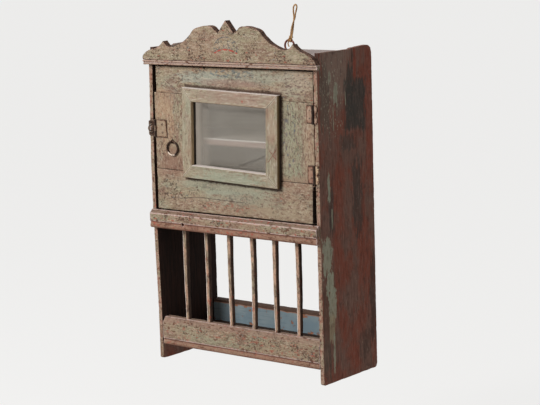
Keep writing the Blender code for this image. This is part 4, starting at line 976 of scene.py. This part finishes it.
# A diagonal line of painted shadow, where the haze is thinner.
painted_shadow_line = paint.scratch((0.004, -0.116), (0.074, -0.092), 0.0030, haze)
opaque = haze * 0.06 + painted_shadow_line.do("MULTIPLY_ADD", -0.14, 0.37) + dust_and_painted_light * 0.34
paint.lay((haze, 0.35, 0.65, (171, 165, 155)))
paint.coat(dust_and_painted_light, (242, 236, 226))
# The emission is a painted reflection of the room: the pane glows along its left and top edges though it is
# no lamp.
for name, value in (
    ("Base Color", paint.colour), ("Roughness", 0.30), ("Metallic", 0.5), ("Specular IOR Level", 0.5),
    ("Alpha", opaque * paint.facing("Y").rise(-0.3, -0.7) + 0.03),
    ("Emission Color", mix(painted_room_reflection, (0, 0, 0), (134, 127, 119))), ("Emission Strength", 1.0),
):
    paint.set(name, value)
dress(pane, paint.material, "door", "glass", "glass_pane")
strip_wood = inside_finish("strip_wood", 27.0, (46, 34, 26), (72, 54, 41), 0)
for side_name in ("top", "foot", "left", "right"):
    solid = f"glazing_strip_{side_name}"
    strip = board(f"strip_behind_glass_{side_name}", *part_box(solid), (0.005, 0.005, 0.005))
    age(strip, 0.0004, 0.0004, 110.0, hollow=0.0001)
    dress(strip, strip_wood, "door", "bare_wood", solid)


# Moulding: four strips mitred at the corners and bradded to the door round the glass, a little out of
# square with it. Their faces rise towards the glass, with a rounded edge on each side.
MOULD, MITRE_GAP = 0.026, 0.00015
mould_section = (
    [(0.0, 0.0)] + arc_points(-0.0090, -0.0020, 0.0020, 90, 175, 4) + [(-0.0118, -0.0080), (-0.0124, -0.0190)]
    + arc_points(-0.0116, -0.0238, 0.0022, 150, 270, 5) + [(0.0, -MOULD)])


def moulding_finish(name, along):
    """The front's paint on the moulding, with painted highlight on faces looking up and painted shade below
    and right.
    """
    paint = Finish(name)
    height = old_paint(paint, 52.0, along, 0.7, 0.7, 0.35)
    paint.lay((paint.cloud(0.030, 55.0, detail=5.0, rough=0.7), 0.36, 0.60, (158, 152, 130), 0.6))
    breaks = paint.cloud(0.0060, 58.0, detail=4.0)
    streaks = paint.cloud(0.0036, 62.0, drawn(along, 7.0), 5.0, 0.7)
    for x, z, wide, tall, tone in (
        (0.020, 0.018, 0.085, 0.016, (148, 120, 108)), (0.000, -0.136, 0.075, 0.013, (150, 160, 140)),
        (0.104, -0.035, 0.014, 0.035, (168, 142, 122)),
    ):
        paint.coat(paint.spot((x, 0.0, z), (wide, 0.0, tall), breaks, 2.5, 0.7), tone, 0.5)
    paint.lay((streaks, 0.53, 0.65, (130, 100, 85), 0.5), (streaks, 0.47, 0.36, (194, 183, 166), 0.5))
    for start, end in (((0.0932, -0.1009), (0.1125, -0.0759)), ((0.0964, -0.0769), (0.1119, -0.0942))):
        paint.coat(paint.scratch(start, end, 0.0012, breaks), (120, 66, 52), 0.9)
    paint.coat(paint.spot((0.037, 0.0, 0.0085), (0.002, 0.0, 0.0032), breaks, 2.0), RED, 0.6)
    # On faces turned to the right: the outer side is painted dark as painted shade, and the left strip's
    # inner side is painted pale near its front as painted light and near black deeper in as painted shade.
    outer = mix(paint.place("Y").rise(-0.1800, -0.1730), (128, 106, 74), (48, 34, 25))
    inner = mix(paint.place("Y").rise(-0.1782, -0.1764), (176, 150, 116), (24, 15, 9))
    inner = mix(streaks.rise(0.52, 0.62), inner, (60, 44, 30), 0.5)
    side_light_and_shade = mix(paint.place("X").rise(0.0, -0.01), outer, inner)
    # Pale worn edges, partly painted highlight. A painted highlight on faces that look up, painted shade on
    # faces that look down, and the painted light and shade on faces turned to the right.
    paint.lay(
        (paint.noted("worn") + breaks * 0.5, 0.60, 1.00, (196, 184, 164), 0.45),
        (paint.facing("Z"), 0.35, 0.75, (224, 212, 206), 0.9),
        (paint.facing("Z"), -0.45, -0.80, (74, 52, 38), 0.9), (paint.facing("X"), 0.40, 0.80, side_light_and_shade, 0.95))
    return paint.done(0.58, height, 0.0005)


mould_paint = [moulding_finish("moulding_paint_across", 0), moulding_finish("moulding_paint_upright", 2)]
for turn, name in enumerate(("top", "right", "foot", "left")):
    half, away = (MOULD_HALF_WIDE, MOULD_HALF_TALL)[::-1 if turn % 2 else 1]
    strip = moulded(f"moulding_{name}_strip", mould_section, -half, half)
    bpy.ops.object.mode_set(mode="EDIT")
    for end in (-1.0, 1.0):
        bpy.ops.mesh.select_all(action="SELECT")
        bpy.ops.mesh.bisect(plane_co=(end * (half - MITRE_GAP), 0.0, 0.0), plane_no=(end, 0.0, -1.0),
                            use_fill=True, clear_outer=True)
    bpy.ops.object.mode_set(mode="OBJECT")
    strip.data.transform(
        Matrix.Translation(MOULD_MIDDLE) @ Matrix.Rotation(MOULD_TILT, 4, "Y")
        @ Matrix.Rotation(turn * pi / 2, 4, "Y") @ Matrix.Translation((0.0, 0.0, away)))
    age(strip, 0.0, 0.0005, 120.0 + turn, hollow=0.0003, reach=0.004)
    dress(strip, mould_paint[turn % 2], "door", "front_paint", f"moulding_{name}")


# Hinges: two old iron butts, each leaf cut from sheet, rolled round the pin and nailed on. The front's paint
# went over them and has gone from their edges and knuckles, which rust; the slot along the pin is painted
# shade. The leaves on the side are waisted.
HINGE_X, HINGE_Y, HINGE_TALL = 0.1902, -0.1726, 0.034
LEAF, LEAF_BACK, LEAF_GAP, KNUCKLE, PIN, BORE = 0.0014, -0.1703, 0.0003, 0.0023, 0.0011, 0.0013
DOOR_REACH, DOOR_END, SIDE_REACH, SIDE_END, SIDE_WAIST = 0.015, 0.029, 0.0094, 0.024, 0.0058
SIDE_NECK, SIDE_LOBE, LOBE_SHARE = 0.0066, 0.006, 0.96
RUST, DARK_RUST = (112, 72, 54), (52, 38, 32)


def rod(name, radius, low, high, x, y):
    """An upright round rod."""
    return fresh(bpy.ops.mesh.primitive_cylinder_add, name, vertices=20, radius=radius, depth=high - low,
                 location=(x, y, (low + high) / 2))


def knuckles(tall):
    """Heights of the middle knuckle of three, and of the two outer ones."""
    third = tall / 6 - LEAF_GAP / 2
    return ((-third, third),), ((third + LEAF_GAP, tall / 2), (-tall / 2, -third - LEAF_GAP))


def leaf(name, x, z, tall, edge, spans):
    """A leaf rolled round its pin: the plate's outline away from the pin, and the heights of its knuckles."""
    clear = KNUCKLE + LEAF_GAP if edge[0][0] > 0.0 else -(KNUCKLE + LEAF_GAP)
    outline = []
    for low, high in spans:
        outline += [(clear, high), (0.0, high), (0.0, low), (clear, low)]
    outline = [(x + across, LEAF_BACK, z + up) for across, up in outline + list(edge)]
    piece = cut_out(name, outline, (0.0, -LEAF, 0.0))
    slice_across(piece, 0, 0.0025)
    slice_across(piece, 2, 0.0025)
    for low, high in spans:
        combine(piece, rod("knuckle", KNUCKLE, z + low, z + high, x, HINGE_Y), "UNION")
    combine(piece, rod("bore", BORE, z - tall, z + tall, x, HINGE_Y))
    return piece


def painted_iron(name, seed, tone, pale, bare, pin_x):
    """Paint over sheet iron, rubbed to rust at edges and in spots; along the pin bare knuckles and painted
    shade.
    """
    paint = Finish(name, tone)
    fine = paint.cloud(0.0026, seed + 3.0, detail=4.0, rough=0.65)
    rubbed = paint.noted("worn") * bare + fine
    paint.lay(
        (paint.cloud(0.0070, seed, detail=4.0, rough=0.6), 0.40, 0.60, pale), (rubbed, 0.66, 0.80, RUST, 0.8),
        (rubbed, 0.82, 0.95, DARK_RUST, 0.8), (fine, 0.40, 0.30, DARK_RUST, 0.6))
    # Near black along the pin: the bare knuckles, and painted shade in the slot between the leaves.
    paint.coat(paint.spot((pin_x, 0.0, 0.0), (0.0031, 0.0, 0.0), fine, 0.6, 0.3), (36, 25, 20), 0.9)
    return paint.done(0.6, fine, 0.0005)


def rusty_iron(name, seed, tone, rust):
    """Bare old iron, brown with rust and rubbed bright where it is handled."""
    paint = Finish(name, tone)
    fine = paint.cloud(0.0018, seed + 3.0, detail=4.0, rough=0.65)
    paint.lay(
        (paint.cloud(0.0055, seed, detail=4.0, rough=0.6), 0.42, 0.60, rust),
        (fine, 0.54, 0.66, DARK_RUST, 0.6),
        (paint.noted("worn") * 0.35 + fine, 0.62, 0.80, (150, 130, 112), 0.6))
    return paint.done(fine.rise(0.25, 0.90), fine, 0.0004, 0.45)


hinge_paint = painted_iron("hinge_paint", 3.0, (152, 122, 102), (170, 144, 124), 0.42, HINGE_X)
low_hinge_paint = painted_iron("lower_hinge_paint", 8.0, (142, 104, 86), (156, 124, 104), 0.48, HINGE_X)
low_side_paint = painted_iron("lower_side_leaf_paint", 14.0, (176, 144, 116), (202, 182, 150), 0.30, HINGE_X)
pin_iron = rusty_iron("pin_iron", 6.0, (50, 38, 32), (84, 56, 42))
clear, near, far = KNUCKLE + LEAF_GAP, HINGE_TALL / 2 - 0.0004, DOOR_END / 2
door_edge = ((-clear, -near), (-DOOR_REACH, -far), (-DOOR_REACH, far), (-clear, near))
side_edge = (
    (SIDE_NECK, -near), (SIDE_REACH, -SIDE_END / 2), (SIDE_REACH * LOBE_SHARE, -SIDE_LOBE), (SIDE_WAIST, 0.0),
    (SIDE_REACH * LOBE_SHARE, SIDE_LOBE), (SIDE_REACH, SIDE_END / 2), (SIDE_NECK, near))
inner, outer = knuckles(HINGE_TALL)
for name, z, door_leaf_paint, side_leaf_paint in (
    ("upper", -0.00935, hinge_paint, hinge_paint), ("lower", -0.11835, low_hinge_paint, low_side_paint),
):
    for body, where, edge, spans, finish, seed in (
        ("door", "door", door_edge, inner, door_leaf_paint, 131.0),
        ("carcass", "side", side_edge, outer, side_leaf_paint, 134.0),
    ):
        piece = leaf(f"{name}_hinge_leaf_on_{where}", HINGE_X, z, HINGE_TALL, edge, spans)
        age(piece, 0.0003, 0.0003, seed, hollow=0.00012, reach=0.004)
        dress(piece, finish, body, "iron", f"hinge_{name}_{where}_leaf")
    low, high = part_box(f"hinge_{name}_pin")
    pin = rod(f"{name}_hinge_pin_iron", PIN, low.z, high.z, HINGE_X, HINGE_Y)
    age(pin, 0.0004, 0.0001, 137.0, hollow=0.00005, reach=0.002)
    dress(pin, pin_iron, "carcass", "iron", f"hinge_{name}_pin")


# Hasp: a plate nailed to the door and painted with it, and a strap of bare iron that turns on a pin at its
# edge. The strap's slot goes over a wire staple driven into the edge of the left side.
HASP_X, HASP_Z, HASP_TALL = -0.1875, -0.05235, 0.033
inner, outer = knuckles(HASP_TALL)
plate_edge = ((clear, -0.0163), (0.0288, -0.0158), (0.0258, 0.0160), (clear, 0.0163))
hasp_plate = leaf("hasp_plate_on_door", HASP_X, HASP_Z, HASP_TALL, plate_edge, outer)
age(hasp_plate, 0.0003, 0.0004, 140.0, hollow=0.00012, reach=0.004)
hasp_paint = painted_iron("hasp_paint", 21.0, (148, 124, 101), (160, 140, 117), 0.36, HASP_X)
dress(hasp_plate, hasp_paint, "door", "iron", "hasp_plate")
strap_edge = ((-clear, -0.0160), (-0.0150, -0.0150), (-0.0177, -0.0125),
              (-0.0177, 0.0125), (-0.0150, 0.0150), (-clear, 0.0160))
strap = leaf("hasp_strap_iron", HASP_X, HASP_Z, HASP_TALL, strap_edge, inner)
slot = fresh(bpy.ops.mesh.primitive_cube_add, "slot", size=1.0, location=(HASP_X - 0.01251, HINGE_Y, HASP_Z))
slot.scale = (0.00544, 0.02, 0.0138)
combine(strap, slot)
age(strap, 0.0003, 0.0003, 143.0, hollow=0.00012, reach=0.003)
dress(strap, rusty_iron("hasp_iron", 17.0, (46, 33, 27), (82, 56, 42)), "hasp", "iron", "hasp_strap")
low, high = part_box("hasp_pin")
hasp_pin = rod("hasp_pin_iron", PIN, low.z, high.z, HASP_X, HINGE_Y)
age(hasp_pin, 0.0004, 0.0001, 146.0, hollow=0.00005, reach=0.002)
dress(hasp_pin, pin_iron, "door", "iron", "hasp_pin")


def wire(name, lines, radius, rounds=4):
    """Round wire or yarn along lists of points, as one piece."""
    piece = fresh(bpy.ops.curve.primitive_nurbs_path_add, name)
    piece.data.splines.clear()
    piece.data.bevel_depth = radius
    piece.data.bevel_resolution = rounds
    piece.data.use_fill_caps = True
    for points in lines:
        line = piece.data.splines.new("POLY")
        line.points.add(len(points) - 1)
        for point, place in zip(line.points, points):
            point.co = (*place, 1.0)
    bpy.ops.object.convert(target="MESH")
    return bpy.context.object


def staple_line(x, z, spread, tip, root):
    """A staple's line: a leg out of the wood, a half turn and a leg back."""
    bend = spread / 2
    turn = [(x, tip + bend - bend * sin(pi * k / 16), z - bend * cos(pi * k / 16)) for k in range(17)]
    return [(x, root, z - bend)] + turn + [(x, root, z + bend)]


staple = wire("hasp_staple_wire", [staple_line(-0.19919, HASP_Z, 0.010, -0.1790, -0.1585)], 0.0011)
age(staple, 0.0, 0.0001, 149.0, hollow=0.00012)
# The staple's iron is lighter than the other iron: rust, and partly a painted glint.
staple_iron = rusty_iron("staple_iron", 29.0, (96, 78, 66), (150, 128, 112))
dress(staple, staple_iron, "carcass", "iron", "hasp_staple")


# Ring pull: a ring bent from iron rod that hangs in a small wire staple on the latch stile. It is dark with
# rust, and its lower half is bright: rubbed by hands, and partly a painted highlight.
def torus(name, radius, thick, segments, centre):
    """An upright ring that faces the front."""
    piece = fresh(bpy.ops.mesh.primitive_torus_add, name, major_segments=segments, minor_segments=16,
                  major_radius=radius, minor_radius=thick, location=centre, rotation=(pi / 2, 0.0, 0.0))
    bpy.ops.object.transform_apply()
    return piece


RING_X, RING_Y, RING_Z, RING = -0.146, -0.1721, -0.07585, 0.0132
ring = torus("ring_of_iron", RING, 0.0020, 80, (RING_X, RING_Y, RING_Z - RING))
age(ring, 0.0, 0.0, 152.0, hollow=0.0003)
paint = Finish("ring_iron", (44, 32, 27))
patches = paint.cloud(0.0060, 35.0, detail=4.0, rough=0.6)
fine = paint.cloud(0.0018, 38.0, detail=4.0, rough=0.65)
paint.lay((patches, 0.42, 0.60, (76, 55, 44)))
# A lighter patch on the lower inner rim: rubbed bright by hands, and partly a painted highlight.
rubbed = paint.spot((RING_X - 0.003, 0.0, RING_Z - 2 * RING + 0.001), (0.012, 0.0, 0.006), patches, 1.2)
paint.coat(rubbed, (206, 188, 172), 0.8)
paint.lay((fine, 0.55, 0.66, DARK_RUST, 0.7))
dress(ring, paint.done(0.42, fine, 0.0004, 0.5), "ring", "iron", "ring_pull")
staple = wire("ring_staple_wire", [staple_line(RING_X, RING_Z, 0.006, -0.1751, -0.1605)], 0.0010)
age(staple, 0.0, 0.0, 155.0, hollow=0.0001)
dress(staple, pin_iron, "door", "iron", "ring_staple")


# Nails: hand-cut iron nails with small hammered heads. They hold the hinges, the hasp and the joints of the
# front, and most stand a little proud of the paint. One in the right side has bent over.
nail_iron = rusty_iron("nail_iron", 41.0, (60, 44, 36), (104, 74, 58))
LEAF_FRONT, RAIL_FRONT, HEAD_HIGH, HEAD_ROUGH = LEAF_BACK - LEAF, -0.1805, 0.45, 0.14
# Nail heads on each body: x, depth, z and radius
for name, body, seed, places in (
    ("nails_in_door", "door", 158.0, (
        (0.1826, LEAF_FRONT, -0.0163, 0.0019), (0.1826, LEAF_FRONT, -0.0020, 0.0016),
        (0.1832, LEAF_FRONT, -0.1085, 0.0019), (0.1838, LEAF_FRONT, -0.1240, 0.0019),
        (-0.1708, LEAF_FRONT, -0.0442, 0.0027), (-0.1702, LEAF_FRONT, -0.0597, 0.0025),
        (-0.1385, FRONT, 0.0460, 0.0022), (-0.1170, FRONT, 0.0500, 0.0018), (-0.0896, FRONT, -0.1600, 0.0018),
        (0.1640, FRONT, 0.0300, 0.0018), (-0.1700, FRONT, -0.1500, 0.0018),
        (0.1600, FRONT, -0.1560, 0.0018))),
    ("nails_in_carcass", "carcass", 161.0, (
        (0.1965, LEAF_FRONT, -0.0160, 0.0015), (0.1968, LEAF_FRONT, -0.1050, 0.0015),
        (0.1968, LEAF_FRONT, -0.1300, 0.0015), (-0.1930, RAIL_FRONT, -0.2250, 0.0020),
        (0.1920, RAIL_FRONT, -0.2280, 0.0020), (-0.1800, CREST_FRONT, 0.0925, 0.0019),
        (0.1830, CREST_FRONT, 0.0900, 0.0019))),
):
    heads = []
    for count, (x, y, z, radius) in enumerate(places):
        head = fresh(bpy.ops.mesh.primitive_uv_sphere_add, "nail_head", segments=14, ring_count=8, radius=1.0)
        for vertex in head.data.vertices:
            vertex.co *= 1.0 + HEAD_ROUGH * noise.noise(vertex.co * 1.7 + Vector((seed, count * 5.1, 0.0)))
        flat = Matrix.Diagonal((radius, HEAD_HIGH * radius, radius, 1.0))
        head.data.transform(Matrix.Translation((x, y, z)) @ flat)
        heads.append(head)
    choose(heads[0])
    for head in heads:
        head.select_set(True)
    bpy.ops.object.join()
    heads[0].name = name
    age(heads[0], 0.0, 0.0, seed, hollow=0.0001)
    dress(heads[0], nail_iron, body, "iron")
bent_nail = wire("bent_nail", [[
    (0.1918, -0.1690, -0.1380), (0.1890, -0.1700, -0.1382), (0.1872, -0.1706, -0.1392),
    (0.1863, -0.1710, -0.1412),
    (0.1863, -0.1712, -0.1436), (0.1872, -0.1712, -0.1454), (0.1886, -0.1712, -0.1462),
]], 0.0010)
age(bent_nail, 0.0, 0.0, 164.0, hollow=0.0001)
dress(bent_nail, nail_iron, "carcass", "iron")


# Eye and twine: an iron eye driven into the top of the back. Two strands of brown jute twine are knotted to
# it, twisted together, and part at the top into the loop that goes over a nail in the wall.
EYE, EYE_WIRE, EYE_PLACE = 0.011, 0.0020, Vector((0.0142, -0.006, 0.09775))
eye = torus("eye_of_iron", EYE, EYE_WIRE, 64, EYE_PLACE)
low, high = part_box("hanging_eye")
combine(eye, rod("shank", EYE_WIRE, low.z, EYE_PLACE.z - EYE, EYE_PLACE.x, EYE_PLACE.y), "UNION")
age(eye, 0.0, 0.0, 167.0, hollow=0.0002)
dress(eye, rusty_iron("eye_iron", 47.0, (96, 52, 44), (134, 80, 68)), "carcass", "iron", "hanging_eye")


def smooth_route(start, points, steps):
    """Points of a smooth curve through the points of a route, which are given from its start."""
    route = [start + Vector(point) for point in points]
    ends = [2 * route[0] - route[1]] + route + [2 * route[-1] - route[-2]]
    made = []
    for index in range(1, len(ends) - 2):
        before, near, far, after = ends[index - 1:index + 3]
        for step in range(steps):
            share = step / steps
            bend = 2 * before - 5 * near + 4 * far - after
            swing = 3 * near - before - 3 * far + after
            made.append(near + (far - before) * share / 2 + bend * share ** 2 / 2 + swing * share ** 3 / 2)
    return made + [route[-1]]


def run_length(line):
    """Length along a line of points."""
    return sum((b - a).length for a, b in zip(line, line[1:]))


def wound(line, radius, pitch, start):
    """A line wound round another at a radius, one turn in each pitch, ending at its start angle."""
    run, side, made = -run_length(line), Vector((0.0, 1.0, 0.0)), []
    for index, point in enumerate(line):
        ahead = (line[min(index + 1, len(line) - 1)] - line[max(index - 1, 0)]).normalized()
        side = (side - ahead * side.dot(ahead)).normalized()
        if index:
            run += (point - line[index - 1]).length
        angle = start + 2 * pi * run / pitch
        made.append(point + radius * (cos(angle) * side + sin(angle) * ahead.cross(side)))
    return made


YARN_TURN = 0.0095
paint = Finish("jute_twine", (194, 154, 106))
fibres = paint.cloud(0.0009, 3.0, drawn(2, 3.0), 4.0, 0.7)
paint.lay((paint.cloud(0.0070, 6.0), 0.40, 0.62, (166, 122, 80)), (fibres, 0.52, 0.68, (224, 194, 148), 0.6),
          (fibres, 0.44, 0.34, (108, 72, 48), 0.5))
jute = paint.done(0.95, fibres, 0.0004)


def twisted(name, lines, yarn, lay, solid):
    """Strands of three yarns each along the given lines, as one piece."""
    yarns = [wound(line, lay, YARN_TURN, 2 * pi * turn / 3) for line in lines for turn in range(3)]
    piece = wire(name, yarns, yarn, 2)
    bpy.ops.object.shade_smooth_by_angle(angle=radians(50))
    dress(piece, jute, "carcass", "jute", solid)
    return piece


TWINE, STRAND_LAY, YARN, YARN_LAY, PAIR_TURN = 0.0050, 0.00150, 0.00084, 0.00076, 0.075
KNOT_LEAN, KNOT_RISE, PARTING = radians(14), 0.00535, 0.0003
outward = Vector((sin(KNOT_LEAN), 0.0, cos(KNOT_LEAN)))
along = Vector((cos(KNOT_LEAN), 0.0, -sin(KNOT_LEAN)))
tied = EYE_PLACE + outward * EYE
start = tied + outward * KNOT_RISE
route = smooth_route(start, (
    (0.0, 0.0, 0.0), (0.0011, 0.0, 0.0045), (0.0030, 0.0, 0.0139), (0.0057, 0.0, 0.0253),
    (0.0083, 0.0, 0.0340),
    (0.0096, 0.0, 0.0385), (0.0096, 0.0, 0.0415)), 8)
loop_line = smooth_route(route[-1] + Vector((0.0, 0.0, PARTING)), (
    (-0.0016, 0.0, 0.0), (-0.0020, 0.0, 0.0045), (-0.0024, 0.0, 0.0100), (-0.0018, 0.0, 0.0157),
    (0.0006, 0.0, 0.0191), (0.0030, 0.0, 0.0204), (0.0052, 0.0, 0.0189), (0.0060, 0.0, 0.0157),
    (0.0046, 0.0, 0.0100), (0.0028, 0.0, 0.0045), (0.0016, 0.0, 0.0)), 6)
pair = [wound(route, STRAND_LAY, PAIR_TURN, angle) for angle in (pi / 2, -pi / 2)]
twine = twisted("twine_of_two_strands", pair, YARN, YARN_LAY, "twine")
loop = twisted("loop_of_twine", [loop_line], YARN, YARN_LAY, "twine_loop")
HITCH, HITCH_TURNS, HITCH_STEPS, HITCH_RUN, HITCH_START = 0.00315, 2.5, 72, 0.0066, -0.0036
hitch = []
for step in range(HITCH_STEPS + 1):
    angle = 2 * pi * HITCH_TURNS * step / HITCH_STEPS - pi / 2
    advance = along * (HITCH_RUN * step / HITCH_STEPS + HITCH_START)
    hitch.append(tied + advance + HITCH * (cos(angle) * Vector((0.0, -1.0, 0.0)) + sin(angle) * outward))
collar = wound([point - outward * 0.0014 for point in route[:9]], 0.0034, 0.0024, 0.0)
tail = smooth_route(tied, (
    (-0.0020, -0.0036, -0.0030), (-0.0028, -0.0044, -0.0060), (-0.0020, -0.0046, -0.0095),
    (-0.0005, -0.0044, -0.0125)), 6)
knot = twisted("knot_of_twine", [hitch, collar, tail], 0.00066, 0.00060, "twine_knot")
length = run_length(route)


low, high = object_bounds()
